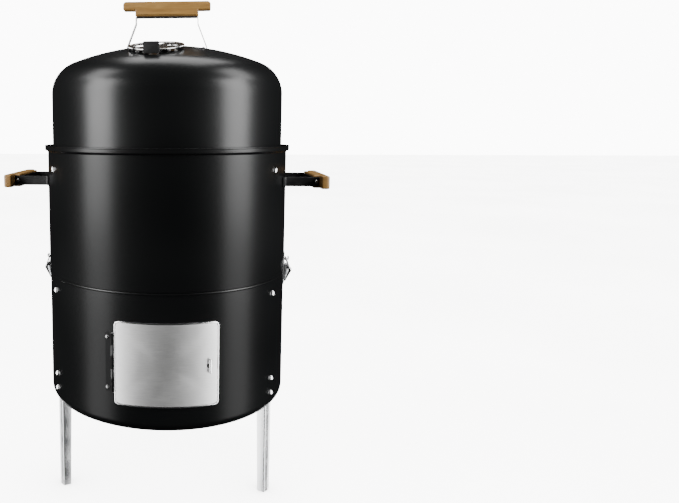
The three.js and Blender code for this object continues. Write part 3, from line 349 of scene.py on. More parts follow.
# ---- finishes ----
class Finish:
    """One material: a Principled shader, with its pattern worked out from Object coordinates."""

    def __init__(self, name, **constants):
        self.material = bpy.data.materials.new(name)
        self.material.use_nodes = True
        self.nodes = self.material.node_tree.nodes
        self.links = self.material.node_tree.links
        self.shader = self.nodes["Principled BSDF"]
        for socket, value in constants.items():
            self.shader.inputs[socket.replace("_", " ")].default_value = value
        self.position = self.nodes.new("ShaderNodeTexCoord").outputs["Object"]

    def feed(self, target, value):
        """Links an output to a socket, or sets the socket to a value."""
        if isinstance(value, bpy.types.NodeSocket):
            self.links.new(value, target)
        else:
            target.default_value = (*value, 1) if target.type == "RGBA" else value

    def add(self, kind, **sockets):
        """A new node with its named sockets fed."""
        node = self.nodes.new(f"ShaderNode{kind}")
        for socket, value in sockets.items():
            self.feed(node.inputs[socket.replace("_", " ")], value)
        return node

    def stretched(self, scale, turn=(0, 0, 0)):
        return self.add("Mapping", Vector=self.position, Scale=scale, Rotation=turn).outputs["Vector"]

    def noise(self, scale, detail=3.0, rough=0.55, place=None, distort=0.0):
        return self.add("TexNoise", Vector=place or self.position, Scale=scale, Detail=detail,
                        Roughness=rough, Distortion=distort).outputs["Fac"]

    def cells(self, scale, output="Color"):
        return self.add("TexVoronoi", Vector=self.position, Scale=scale).outputs[output]

    def ramp(self, value, *stops):
        """Colours or shades along a value: stops of (place, colour)."""
        node = self.add("ValToRGB", Fac=value)
        elements = node.color_ramp.elements
        while len(elements) < len(stops):
            elements.new(0.5)
        for element, (at, colour) in zip(elements, stops):
            element.position = at
            shade = colour if isinstance(colour, tuple) else (colour,) * 3
            element.color = (*shade, 1)
        return node.outputs["Color"]

    def spread(self, value, low, high, start=0.3, end=0.7):
        """The value's middle part spread over low to high."""
        return self.add("MapRange", Value=value, From_Min=start, From_Max=end,
                        To_Min=low, To_Max=high).outputs["Result"]

    def mixed(self, share, first, second, blend="MIX"):
        node = self.add("Mix")
        node.data_type = "RGBA"
        node.blend_type = blend
        for socket, value in ((0, share), (6, first), (7, second)):
            self.feed(node.inputs[socket], value)
        return node.outputs[2]

    def maths(self, kind, first, second=0.0):
        node = self.add("Math")
        node.operation = kind
        self.feed(node.inputs[0], first)
        self.feed(node.inputs[1], second)
        return node.outputs[0]

    def colour(self, source):
        self.feed(self.shader.inputs["Base Color"], source)

    def roughness(self, source):
        self.feed(self.shader.inputs["Roughness"], source)

    def bump(self, source, depth, strength=1.0):
        """Relief of a real depth in millimetres."""
        node = self.add("Bump", Height=source, Distance=depth * MM, Strength=strength)
        self.feed(self.shader.inputs["Normal"], node.outputs["Normal"])


def satin_black_paint():
    """Baked satin black: a faint cloudiness, an orange-peel skin and a little settled dust."""
    paint = Finish("satin_black_paint", Specular_IOR_Level=0.42)
    cloud = paint.noise(5, 1)
    peel = paint.noise(700, 2)
    dust = paint.ramp(paint.noise(2600, 1), (0.7, 0.0), (0.78, 1.0))
    tone = paint.ramp(cloud, (0.35, (0.0040, 0.0043, 0.0045)), (0.65, (0.0062, 0.0066, 0.0068)))
    paint.colour(paint.mixed(paint.maths("MULTIPLY", dust, 0.04), tone, (0.12, 0.12, 0.115)))
    paint.roughness(paint.spread(cloud, 0.27, 0.31, 0.2, 0.8))
    paint.bump(peel, 0.05, 0.35)
    return paint.material


def satin_door_steel():
    """Rolled stainless sheet: very fine level brushing and soft cloudy smears."""
    steel = Finish("satin_door_steel", Metallic=1.0)
    brushed = steel.noise(60, 5, 0.6, steel.stretched((1.2, 1.2, 60)))
    smear = steel.noise(14, 4)
    steel.colour(steel.ramp(brushed, (0.3, (0.58, 0.58, 0.575)), (0.7, (0.74, 0.74, 0.735))))
    steel.roughness(steel.maths("ADD", steel.spread(brushed, 0.42, 0.48), steel.spread(smear, -0.03, 0.04)))
    steel.bump(brushed, 0.02, 0.3)
    return steel.material


def rolled_edge_steel():
    """The door's folded edge: a lighter copy of the door steel that paints a highlight on the rim, with a
    lower roughness for its polish.
    """
    steel = Finish("rolled_edge_steel", Metallic=1.0)
    fine = steel.noise(500, 3)
    # lighter than the door steel: a painted highlight on the rolled rim
    steel.colour(steel.ramp(fine, (0.3, 0.82), (0.7, 0.9)))
    steel.roughness(steel.spread(fine, 0.16, 0.26))
    return steel.material


def bright_leg_plate():
    """Pressed strip with a bright zinc plate: faint drawing lines along the leg."""
    plate = Finish("bright_leg_plate", Metallic=1.0)
    drawn = plate.noise(60, 4, 0.6, plate.stretched((40, 40, 1)))
    cloud = plate.noise(30, 3)
    plate.colour(plate.mixed(0.35, plate.ramp(drawn, (0.3, (0.5, 0.505, 0.515)), (0.7, (0.68, 0.685, 0.69))),
                             plate.ramp(cloud, (0.35, (0.5, 0.51, 0.52)), (0.65, (0.7, 0.7, 0.7)))))
    plate.roughness(plate.spread(cloud, 0.2, 0.32))
    plate.bump(drawn, 0.02, 0.3)
    return plate.material


def zinc_bracket():
    """Dull zinc with small crystal spangles."""
    zinc = Finish("zinc_bracket", Metallic=1.0)
    spangle = zinc.cells(220)
    tone = zinc.add("RGBToBW", Color=spangle).outputs[0]
    zinc.colour(zinc.ramp(tone, (0.2, (0.4, 0.41, 0.42)), (0.8, (0.58, 0.585, 0.59))))
    zinc.roughness(zinc.spread(tone, 0.3, 0.45, 0.2, 0.8))
    return zinc.material


def polished_plate(name, low, high, rough):
    """Bright plate with hairline scratches that lie every way."""
    plate = Finish(name, Metallic=1.0)
    hair = plate.noise(300, 4, 0.7, plate.stretched((1, 9, 3), (0.3, 0.4, 0.7)))
    plate.colour(plate.ramp(hair, (0.3, low), (0.7, high)))
    plate.roughness(plate.spread(hair, rough, rough + 0.12))
    return plate.material


def gloss_black_pressing(name, rough):
    """Black enamelled strip with a shallow ripple and faint rub marks."""
    black = Finish(name)
    ripple = black.noise(260, 2)
    rub = black.noise(40, 5, 0.7)
    black.colour(black.ramp(rub, (0.4, (0.008, 0.008, 0.0085)), (0.75, (0.022, 0.022, 0.022))))
    black.roughness(black.spread(rub, rough, rough + 0.15))
    black.bump(ripple, 0.04, 0.4)
    return black.material


def speckled_enamel():
    """Glossy black enamel with small pale flecks."""
    enamel = Finish("speckled_enamel", Coat_Weight=0.6, Coat_Roughness=0.08)
    fleck = enamel.cells(900, output="Distance")
    share = enamel.ramp(fleck, (0.1, 0.5), (0.16, 0.0))
    ground = enamel.ramp(enamel.noise(40), (0.3, (0.008, 0.008, 0.01)), (0.7, (0.015, 0.015, 0.018)))
    enamel.colour(enamel.mixed(enamel.maths("MULTIPLY", share, 0.25), ground, (0.25, 0.25, 0.26)))
    enamel.roughness(enamel.spread(enamel.noise(25), 0.18, 0.3))
    enamel.bump(enamel.noise(120, 2), 0.08, 0.4)
    return enamel.material


def matt_black_moulding():
    """Phenolic black with a fine moulded grain."""
    black = Finish("matt_black_moulding")
    grain = black.noise(1500, 2)
    black.colour(black.ramp(grain, (0.3, (0.010, 0.010, 0.010)), (0.7, (0.018, 0.018, 0.018))))
    black.roughness(black.spread(grain, 0.5, 0.62))
    black.bump(grain, 0.06, 0.5)
    return black.material


def honey_wood(name, along):
    """Laminated honey wood: thin strips side by side, fibres along the grip and darker pores.

    along is 0 when the grip lies along X and 1 when it lies along Y.
    """
    wood = Finish(name, Coat_Weight=0.15, Coat_Roughness=0.35)

    def drawn_out(fine, coarse):
        """A pattern stretched along the grip."""
        return wood.stretched([coarse if axis == along else fine for axis in range(3)])

    fibre = wood.noise(14, 6, 0.65, drawn_out(60, 3), 0.3)
    figure = wood.noise(9, 4, 0.5, drawn_out(12, 1.5), 1.2)
    pore = wood.ramp(wood.noise(8, 3, 0.7, drawn_out(160, 8)), (0.62, 0.0), (0.72, 1.0))
    split = wood.add("SeparateXYZ", Vector=wood.position)
    strip = wood.maths("FLOOR", wood.maths("DIVIDE", split.outputs[2], 5.6 * MM))
    chance = wood.nodes.new("ShaderNodeTexWhiteNoise")
    chance.noise_dimensions = "1D"
    wood.feed(chance.inputs["W"], strip)
    base = wood.ramp(figure, (0.3, (0.50, 0.285, 0.082)), (0.5, (0.43, 0.235, 0.062)),
                     (0.72, (0.335, 0.17, 0.042)))
    fibres = wood.ramp(fibre, (0.32, (0.62, 0.60, 0.56)), (0.62, (1.0, 1.0, 1.0)))
    tone = wood.mixed(0.75, base, fibres, "MULTIPLY")
    shade = wood.ramp(chance.outputs["Value"], (0.0, (0.84, 0.82, 0.8)), (1.0, (1.0, 1.0, 1.0)))
    tone = wood.mixed(0.8, tone, shade, "MULTIPLY")
    wood.colour(wood.mixed(wood.maths("MULTIPLY", pore, 0.5), tone, (0.12, 0.055, 0.015)))
    wood.roughness(wood.spread(fibre, 0.42, 0.6))
    wood.bump(wood.maths("SUBTRACT", fibre, pore), 0.12, 0.5)
    return wood.material


finishes = {
    "body_paint": satin_black_paint(),
    "door_steel": satin_door_steel(),
    "leg_steel": bright_leg_plate(),
    "bracket_zinc": zinc_bracket(),
    "bolt_chrome": polished_plate("bolt_plate", 0.62, 0.84, 0.16),
    "latch_chrome": polished_plate("bright_nickel", 0.6, 0.8, 0.12),
    "lever_black": gloss_black_pressing("gloss_black_lever", 0.2),
    "handle_black": gloss_black_pressing("satin_black_strip", 0.34),
    "strap_steel": polished_plate("brushed_strap", 0.5, 0.68, 0.2),
    "grip_wood": honey_wood("honey_wood_across", 0),
    "tab_black": matt_black_moulding(),
    "grate_chrome": polished_plate("plated_wire", 0.5, 0.72, 0.18),
    "bowl_enamel": speckled_enamel(),
}
side_wood = honey_wood("honey_wood_deep", 1)
# a lighter copy of the door steel for the rolled rim: a painted highlight
rim_highlight_steel = rolled_edge_steel()


# ---- pieces ----
def finished(name, solids, body, slot, nodes=(), azimuth=0, sharp=38.0, material=None):
    """Solids turned to an azimuth and joined into one piece of a body, with its nodes and finish."""
    start, points, faces = 0, [], []
    for solid_points, solid_faces in (around(solid, azimuth) if azimuth else solid for solid in solids):
        points.append(solid_points)
        faces += [[i + start for i in face] for face in solid_faces]
        start += len(solid_points)
    mesh = bpy.data.meshes.new(name)
    mesh.from_pydata((np.concatenate(points) * MM).tolist(), [], faces)
    work = bmesh.new()
    work.from_mesh(mesh)
    bmesh.ops.remove_doubles(work, verts=work.verts, dist=4e-6)
    bmesh.ops.dissolve_degenerate(work, edges=work.edges, dist=1e-6)
    work.to_mesh(mesh)
    work.free()
    mesh.shade_smooth()
    mesh.set_sharp_from_angle(angle=math.radians(sharp))
    mesh.materials.append(material or finishes[slot])
    piece = bpy.data.objects.new(name, mesh)
    bpy.context.scene.collection.objects.link(piece)
    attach(piece, body)
    if nodes:
        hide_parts(*nodes)
    return piece


def wall_maps(outer, inner):
    """Maps of a flat domain of (arc length on the outer wall, height) onto both faces of a wall."""

    def on(radius):
        def carried(flat):
            turn = flat[..., 0] / outer
            return np.stack((radius * np.sin(turn), -radius * np.cos(turn), flat[..., 1]), -1)

        return carried

    return on(outer), on(inner)


def level_maps(front, back):
    """Maps of a flat plan onto two level faces."""

    def at(height):
        return lambda flat: np.concatenate((flat, np.full(flat.shape[:-1] + (1,), float(height))), -1)

    return at(front), at(back)


HINGE = np.array(joint("door_swing")["pos_m"]) / MM
HINGE_REACH = math.hypot(HINGE[0], HINGE[1])
HINGE_AZIMUTH = math.degrees(math.atan2(HINGE[0], -HINGE[1]))
KNUCKLE = HINGE_REACH - BASE_RADIUS - FIT
DOOR_FROM = HINGE_AZIMUTH + math.degrees(KNUCKLE / HINGE_REACH)
DOOR_OUTER = BASE_RADIUS + 1.7
DOOR_TO = math.degrees(math.asin(DOOR_HIGH[0] / DOOR_OUTER))
DOOR_LAP = 8


def base_shell():
    """Base: a bent sheet of revolution, with a rounded doorway in its wall and vents in its floor.

    Wall and floor are grids; round the doorway some cells are left out, and a ring between the
    border of those cells and a rounded rectangle takes their place.
    """
    bottom, top = BASE_LOW[2], BASE_HIGH[2]
    inner = BASE_RADIUS - SHEET
    lap = math.degrees(DOOR_LAP / BASE_RADIUS)
    gate = np.radians([HINGE_AZIMUTH + lap, DOOR_TO - lap]) * BASE_RADIUS
    sill = np.array([DOOR_LOW[2] + DOOR_LAP, DOOR_HIGH[2] - DOOR_LAP])
    pitch = 2 * np.pi * BASE_RADIUS / COLUMNS
    columns = [math.floor(gate[0] / pitch) - 1, math.ceil(gate[1] / pitch) + 1]
    rows = np.linspace(sill[0] - 6, sill[1] + 6, 19)
    ring0, vents = 78.0, 58
    corner = (BASE_RADIUS - BASE_CORNER, bottom + BASE_CORNER)
    outside = np.concatenate((
        divided((ring0, bottom), (corner[0], bottom), 5)[:-1],
        arc(corner, BASE_CORNER, -90, 0, 10),
        [[BASE_RADIUS, bottom + 32]],
        np.column_stack((np.full(len(rows), BASE_RADIUS), rows)),
        [[BASE_RADIUS, SEAM - 34], [BASE_RADIUS, SEAM - 16]],
        arc((inner, SEAM - FIT - 2.4), 2.4, -60, 85, 10),
    ))
    rim = np.concatenate((
        [[inner + 0.2, SEAM + 2]],
        arc((inner - 0.4, top - 0.6), 0.6, 0, 180, 6),
        [[inner - 1, SEAM - 2]],
    ))
    inside = np.concatenate((
        [[inner, SEAM - 5]],
        np.column_stack((np.full(len(rows), inner), rows[::-1])),
        arc(corner, BASE_CORNER - SHEET, 0, -90, 8),
        [[ring0, bottom + SHEET]],
    ))
    profile = np.concatenate((outside, rim, inside))
    keep = np.ones((COLUMNS, len(profile) - 1), bool)
    first = int(np.flatnonzero(np.isclose(outside[:, 1], rows[0]))[0])
    second = len(outside) + len(rim) + 1
    span = np.arange(columns[0], columns[1]) % COLUMNS
    for start in (first, second):
        keep[np.ix_(span, np.arange(start, start + len(rows) - 1))] = False
    skin = revolved(profile, closed=False, keep=keep)
    across = np.arange(columns[0], columns[1] + 1) * pitch
    low, high = rows[0], rows[-1]
    border = rectangle_loop(across, rows)
    share = (border - [across[0], low]) / [across[-1] - across[0], high - low]
    sharp_corner = np.array([gate[0], sill[0]]) + share * [gate[1] - gate[0], sill[1] - sill[0]]
    core = np.clip(sharp_corner, [gate[0] + 5, sill[0] + 5], [gate[1] - 5, sill[1] - 5])
    away = sharp_corner - core
    opening = core + 5 * away / np.linalg.norm(away, axis=1)[:, None]
    sheet_ring(skin, between(border, opening, 3), *wall_maps(BASE_RADIUS, inner))
    back, front = level_maps(bottom, bottom + SHEET)
    turn = np.linspace(0, 2 * np.pi, COLUMNS, endpoint=False) - math.pi / 4
    edge = at_azimuth(1, turn)
    floor = Skin()
    sheet_ring(floor, between(edge * ring0, edge * vents, 1), front, back, hole=False)
    four_holes(floor, vents, 36, 11, 9, COLUMNS // 4, 0, np.zeros(2), front, back)
    skin.points += floor.points
    skin.faces += [[i + skin.count for i in face] for face in floor.faces]
    return finished("base_drum", [skin.solid()], "base", "body_paint", ["base_shell"])


def leg(name, azimuth):
    """Pressed leg: a creased web and two flanges, whose depth falls in a straight line to the foot."""
    low, high = corners("leg_rear")
    face = (BASE_RADIUS - SHEET) * FLAT_OF_48 - FIT - 2.5
    half, gauge, crease = (high[0] - low[0]) / 2, 1.5, 2.5
    bottom, taper_end, top = BASE_LOW[2], BASE_LOW[2] - 4, high[2]
    levels = np.concatenate(([0.0, 0.7], np.linspace(12, taper_end, 11),
                             [bottom, bottom + 34, top - 0.7, top]))
    depth = np.interp(levels, [0, taper_end], [13, 16])
    rings = []
    for level, reach in zip(levels, depth):
        line = filleted([[-half, face - reach], [-half, face], [0, face + crease], [half, face],
                         [half, face - reach]], [0, 2.2, 5, 2.2, 0], 5)
        ring = band(line, -gauge)
        rings.append(np.column_stack((ring[:, 0], -ring[:, 1], np.full(len(ring), level))))
    points = np.array(rings)
    skin = Skin().grid(points, (False, True))
    skin.cap(points[0]).cap(points[-1], flip=True)
    return finished(f"pressed_leg_{name}", [skin.solid()], "base", "leg_steel", [f"leg_{name}"], azimuth,
                    sharp=50)


def round_bolt(node, azimuth, wall, body, name):
    """Round-headed bolt through a wall: a head whose dome is part of a circle, a shank and a nut."""
    centre = middle(node)
    turn = math.radians(azimuth)
    reach = centre[0] * math.sin(turn) - centre[1] * math.cos(turn)
    head = wall + FIT
    back = 2 * reach - head - 3
    stem = [[0, back], [2.5, back], [2.7, back + 0.3], [2.7, head], [4.2, head]]
    bolt = domed(stem, head - 1.8, 4.8, 22, 7)
    hexagon = np.radians(np.arange(6) * 60.0)
    nut = pillow(5 * np.column_stack((np.cos(hexagon), np.sin(hexagon))), back + 0.2, back + 4, 0.5, 2)
    solids = [facing(solid, 0, centre[2]) for solid in (bolt, nut)]
    return finished(name, solids, body, "bolt_chrome", [node], azimuth)


def fire_door():
    """Door: a curved sheet whose edge is rolled into a bead, with its two hinge knuckles.

    Loops of a rounded rectangle shrink to the middle; near the border the sheet's distance from
    the axis follows the bead, a half circle 2.6 mm across.
    """
    lo, hi = math.radians(DOOR_FROM) * DOOR_OUTER, math.radians(DOOR_TO) * DOOR_OUTER
    half = np.array([(hi - lo) / 2, (DOOR_HIGH[2] - DOOR_LOW[2]) / 2])
    centre = np.array([(lo + hi) / 2, (DOOR_HIGH[2] + DOOR_LOW[2]) / 2])
    steps = np.linspace(-1, 1, 25)
    square = rectangle_loop(steps, steps) * half

    def loop(inset, corner):
        room = half - inset
        flat = square * room / half
        core = np.clip(flat, -(room - corner), room - corner)
        away = flat - core
        size = np.maximum(np.linalg.norm(away, axis=1), 1e-9)[:, None]
        return centre + core + corner * away / size

    def carried(flat, radius):
        turn = flat[:, 0] / DOOR_OUTER
        return np.column_stack((radius * np.sin(turn), -radius * np.cos(turn), flat[:, 1]))

    bead = 1.3
    face, back = DOOR_OUTER, DOOR_OUTER - SHEET
    rings = [carried(loop(inset, 7 - min(inset, 2.5)), face) for inset in (46, 24, 10, 5, 3.1)]
    rings.insert(0, carried(np.broadcast_to(centre, (96, 2)), face))
    for turn in np.radians(np.linspace(0, 180, 11)):
        inset = bead * (1 + math.cos(turn))
        rings.append(carried(loop(inset, 7 - inset), face + math.sin(turn)))
    rings += [carried(loop(0.1, 7), back), carried(loop(3.1, 4.5), back), carried(loop(24, 4.5), back)]
    rings.append(carried(np.broadcast_to(centre, (96, 2)), back))
    skin = Skin().grid(np.array(rings), (False, True))
    hinge_height = 97
    pitch = hinge_height / 5
    base = middle("door_hinge_leaf")[2] - hinge_height / 2
    knuckles = []
    for index in (1, 3):
        low = base + index * pitch + FIT / 2
        high = low + pitch - FIT
        ring = np.array([[1.6, low], [2.3, low], [2.6, low + 0.3],
                         [2.6, high - 0.3], [2.3, high], [1.6, high]])
        around_pin = revolved(ring, columns=28).solid()
        knuckles.append(placed(around_pin, (HINGE[0], HINGE[1], 0)))
        tang = pillow(rounded_rectangle(2.1, (high - low) / 2, 0.3, 2), 0, 1.1, 0.2, 1)
        tang = facing(tang, 3.1, (low + high) / 2)
        knuckles.append(around(placed(tang, (0, -(BASE_RADIUS + 0.6), 0)), HINGE_AZIMUTH))
    piece = finished("fire_door_sheet", [skin.solid(), *knuckles], "door", "door_steel", ["door_panel"],
                     sharp=50)
    # slot 1: the rim's lighter steel, a painted highlight
    piece.data.materials.append(rim_highlight_steel)
    piece.data.materials.append(finishes["body_paint"])
    mark_rim(piece.data, centre, half)
    return piece


def mark_rim(mesh, centre, half):
    """Painted highlight, a lighter steel, on the rolled border and paint on the knuckles, by where each
    face's middle lies.
    """
    middles = np.empty(len(mesh.polygons) * 3)
    mesh.polygons.foreach_get("center", middles)
    x, y, z = middles.reshape(-1, 3).T / MM
    across = np.abs(np.arctan2(x, -y) * DOOR_OUTER - centre[0])
    up = np.abs(z - centre[1])
    far = np.hypot(x, y) > DOOR_OUTER + 0.12
    rim = far & ((across > half[0] - 6) | (up > half[1] - 6))
    knuckle = np.hypot(x - HINGE[0], y - HINGE[1]) < 2.8
    mesh.polygons.foreach_set("material_index", np.where(knuckle, 2, rim).astype(np.int32))


def thumb_turn():
    """Thumb turn: a rounded blade, a shaft through the door and a flat tongue behind the wall."""
    centre = np.array(joint("door_latch_turn")["pos_m"]) / MM
    azimuth = math.degrees(math.atan2(centre[0], -centre[1]))
    face = DOOR_OUTER + FIT
    blade = pillow(rounded_rectangle(2, 11.5, 1.9, 4), face, face + 4, 1.2)
    boss = spun(np.array([[0, face - 0.2], [4.4, face - 0.2], [4.4, face + 0.5], [3.6, face + 1.1],
                          [0, face + 1.1]]))
    inner = math.sqrt(((BASE_RADIUS - SHEET) * FLAT_OF_48) ** 2 - 18 ** 2) - 2 * FIT
    shaft = spun(np.array([[0, inner - 2.5], [2.8, inner - 2.5], [3, inner - 2.2], [3, face + 1],
                           [0, face + 1]]))
    tongue = placed(pillow(rounded_rectangle(11, 4, 2, 4), inner - 1.5, inner, 0.3), (7, 0, 0))
    solids = [facing(solid, 0, centre[2]) for solid in (blade, boss, shaft, tongue)]
    return finished("thumb_turn_blade", solids, "door_latch", "latch_chrome", ["door_thumb_turn"], azimuth)


def wire_grate(node, bars):
    """Round-wire grate: a ring of thick wire, level bars of even pitch and two cross wires under them."""
    low, high = corners(node)
    radius, level = high[0] - 2.5, (low[2] + high[2]) / 2
    turn = np.linspace(0, 2 * np.pi, 128, endpoint=False)
    ring = np.column_stack((at_azimuth(radius, turn), np.full(128, level)))
    solids = [wire(ring, 2.5, sides=10, closed=True)]
    for across in np.linspace(-radius, radius, bars + 2)[1:-1]:
        half = math.sqrt(radius ** 2 - across ** 2)
        path = divided((-half, across, level + 0.4), (half, across, level + 0.4), 2)
        solids.append(wire(path, 1.9, sides=8))
    for across in (-radius * 0.45, radius * 0.45):
        half = math.sqrt(radius ** 2 - across ** 2)
        path = divided((across, -half, level - 1.2), (across, half, level - 1.2), 2)
        solids.append(wire(path, 1.6, sides=8))
    return finished(f"{node}_wires", solids, node, "grate_chrome", [node])


def charcoal_ring():
    """Charcoal ring: a rolled wall of even cells, each a square ring round a round air hole."""
    low, high = corners("charcoal_ring")
    outer = high[0]
    columns, rows = 40, 3
    cell = np.array([2 * np.pi * outer / columns, (high[2] - low[2]) / rows])
    steps = np.linspace(-0.5, 0.5, 7)
    loop = rectangle_loop(steps, steps) * cell
    ring = between(loop, rays(loop, np.zeros(2), 6.0), 2)
    skin = Skin()
    maps = wall_maps(outer, outer - SHEET)
    for column in range(columns):
        for row in range(rows):
            home = np.array([(column + 0.5) * cell[0], low[2] + (row + 0.5) * cell[1]])
            sheet_ring(skin, ring + home, *maps)
    turn = np.arange(columns * 6) / (columns * 6) * 2 * np.pi * outer
    for level, flip in ((low[2], True), (high[2], False)):
        edge = np.column_stack((turn, np.full(len(turn), level)))
        skin.grid(np.stack((maps[0](edge), maps[1](edge)), 1), (True, False), flip=flip)
    return finished("charcoal_ring_wall", [skin.solid()], "charcoal_ring", "bowl_enamel", ["charcoal_ring"])


def water_bowl():
    """Water bowl: a pressed sheet of revolution with a rounded floor corner and a flat rolled rim."""
    low, high = corners("water_bowl")
    rim, top, floor = high[0], high[2], low[2]
    wall, foot = rim - 8, rim - 68
    profile = filleted([[0, floor], [foot, floor], [foot + 12, floor + 12], [wall, top - SHEET],
                        [rim, top - SHEET], [rim, top], [wall - SHEET, top],
                        [foot + 12 - SHEET, floor + 12 + SHEET / 2], [foot - SHEET / 2, floor + SHEET],
                        [0, floor + SHEET]], [0, 8, 8, 2, 0.55, 0.55, 3, 7, 8, 0], 6)
    return finished("water_bowl_pressing", [revolved(profile, closed=False, columns=160).solid()],
                    "water_bowl", "bowl_enamel", ["water_bowl"])


def barrel_shell():
    """Barrel: a sheet of revolution that steps out into the lip that takes the lid."""
    top = BARREL_HIGH[2]
    inner, lip_inner = BARREL_RADIUS - SHEET, LIP_RADIUS - SHEET
    profile = filleted([
        [inner, SEAM], [BARREL_RADIUS, SEAM], [BARREL_RADIUS, LEDGE - SHEET],
        [LIP_RADIUS, LEDGE + 2 - SHEET], [LIP_RADIUS, top - 2.2], [LIP_RADIUS + 0.5, top - 1.2],
        [LIP_RADIUS + 0.3, top], [lip_inner, top], [lip_inner, LEDGE + 2], [inner, LEDGE],
    ], [0.3, 0.55, 2.2, 2.0, 1.0, 0.8, 0.5, 0.5, 1.2, 1.2], 5, closed=True)
    return finished("barrel_drum", [revolved(profile).solid()], "barrel", "body_paint", ["barrel_shell"])


def dome_height(plan, crown, top):
    """Height of a spherical crown over a plan point: top - crown + sqrt(crown^2 - r^2)."""
    return top - crown + np.sqrt(crown ** 2 - (plan ** 2).sum(-1))


def crown_maps(top):
    def on(crown, peak):
        return lambda flat: np.concatenate((flat, dome_height(flat, crown, peak)[..., None]), -1)

    return on(LID_CROWN, top), on(LID_CROWN - SHEET, top - SHEET)


def knuckle_arc(wall, knuckle, crown, top, steps):
    """The bend from a straight wall into a crown that it touches."""
    offset = math.sqrt((crown - knuckle) ** 2 - (wall - knuckle) ** 2)
    meet = math.degrees(math.atan2(wall - knuckle, offset))
    return arc((wall - knuckle, top - crown + offset), knuckle, 0, 90 - meet, steps)


DAMPER = np.array(joint("lid_damper_turn")["pos_m"]) / MM
DAMPER_AXIS = np.array(joint("lid_damper_turn")["axis"])
DAMPER_AZIMUTH = math.degrees(math.atan2(DAMPER[0], -DAMPER[1]))


def lid_shell():
    """Lid: flange, wall and bend of revolution, and a crown with four vents under the damper.

    The crown is the ring between the bend's upper edge and a circle round the damper's pivot,
    and inside that circle a disc with four holes, all lifted onto the sphere.
    """
    bottom, top = LID_LOW[2], LID_HIGH[2]
    flange, inner = LID_HIGH[0], LID_RADIUS - SHEET
    outer_bend = knuckle_arc(LID_RADIUS, LID_KNUCKLE, LID_CROWN, top, 20)
    inner_bend = knuckle_arc(inner, LID_KNUCKLE - SHEET, LID_CROWN - SHEET, top - SHEET, 14)
    foot = filleted([
        [inner, bottom + 14], [inner, bottom + 2.2], [inner + 2, bottom], [flange, bottom],
        [flange, bottom + 2.2], [LID_RADIUS + 1.6, bottom + 2.2], [LID_RADIUS, bottom + 5],
        [LID_RADIUS, bottom + 16],
    ], [0, 1, 1, 1.0, 1.0, 1.6, 1.6, 0], 5)
    rise = divided((LID_RADIUS, bottom + 30), (LID_RADIUS, outer_bend[0, 1] - 10), 4)
    profile = np.concatenate((inner_bend[::-1], foot, rise, outer_bend))
    skin = revolved(profile, closed=False)
    front, back = crown_maps(top)
    turn = np.linspace(0, 2 * np.pi, COLUMNS, endpoint=False)
    ring, vents = at_azimuth(1, turn), 44.0
    near = at_azimuth(vents, turn + math.radians(DAMPER_AZIMUTH - 45)) + DAMPER[:2]
    near = np.roll(near, COLUMNS // 8, 0)
    front_edge, back_edge = outer_bend[-1, 0], inner_bend[-1, 0]
    skin.grid(front(between(ring * front_edge, near, 16)), (True, False))
    skin.grid(back(between(ring * back_edge, near, 16)), (True, False), flip=True)
    four_holes(skin, vents, 27, 8, 7, COLUMNS // 4, DAMPER_AZIMUTH, DAMPER[:2], front, back)
    return finished("lid_dome", [skin.solid()], "lid", "body_paint", ["lid_shell"])


def damper_frame():
    """Directions of the damper: across, up the slope and along the dome's normal."""
    z = DAMPER_AXIS / np.linalg.norm(DAMPER_AXIS)
    turn = math.radians(DAMPER_AZIMUTH)
    x = np.array([math.cos(turn), math.sin(turn), 0])
    return {"origin": DAMPER, "x": x, "y": np.cross(z, x), "z": z}


def damper():
    """Damper: a disc with a turned-up rim and four holes, its rivet and its upright tab."""
    low, high = 2.8, 4.0
    radius, flat = 46.5, 43.5
    skin = Skin()
    back, front = level_maps(low, high)
    quarter = 24
    turn = np.radians(np.arange(quarter * 4) * 90 / quarter - 45)
    ring = at_azimuth(1, turn)
    section = np.concatenate((
        [[flat, high]],
        arc((radius - 0.9, high), 0.9, 150, -30, 6),
        [[radius - 0.6, low], [flat, low]],
    ))[::-1]
    lip = np.stack([np.column_stack((ring * r, np.full(len(ring), h))) for r, h in section], 1)
    skin.grid(lip, (True, False))
    four_holes(skin, flat, 27, 8.5, 7, quarter, 0, np.zeros(2), front, back)
    disc = placed(skin.solid(), **damper_frame())
    finished("damper_plate", [disc], "lid_damper", "latch_chrome", ["damper_disc"])

    under, top = -1.8, 4.3
    stem = [[0, under - 3], [4.6, under - 3], [5, under - 2.6], [5, under], [2.7, under], [2.7, top],
            [5, top]]
    rivet = domed(stem, top - 1.8, 5.5, 20, 7)
    finished("damper_rivet_head", [placed(rivet, **damper_frame())], "lid", "latch_chrome",
             ["damper_rivet"])

    upright = radius + 1
    half, gauge = 13.0, 3.0
    plate = pillow(rounded_rectangle(half, 9.5, 2.5, 4), 0, gauge, 0.8)
    plate = placed(facing(plate), (0, -upright, 8))
    foot = placed(pillow(rounded_rectangle(half, 5.3, 1.5, 4), 4.3, 7.3, 0.7), (0, -(upright - 3.9), 0))
    finished("damper_tab_moulding", [placed(s, **damper_frame()) for s in (plate, foot)],
             "lid_damper", "tab_black", ["damper_tab"])


def grip():
    """Wooden grip: a long bar with rounded ends in front of a shorter block, face at zero, along X."""
    end, block, bar, low = GRIP_LENGTH / 2, GRIP_BLOCK / 2, -BAR_DEPTH, -BAR_DEPTH - BLOCK_DEPTH
    outline = filleted([[end, bar], [end, 0], [-end, 0], [-end, bar], [-block, bar], [-block, low],
                        [block, low], [block, bar]], [3, 6, 6, 3, 0.6, 2, 2, 0.6], 6, closed=True)
    return pillow(outline, -GRIP_WIDTH / 2, GRIP_WIDTH / 2, 2.6, 5)


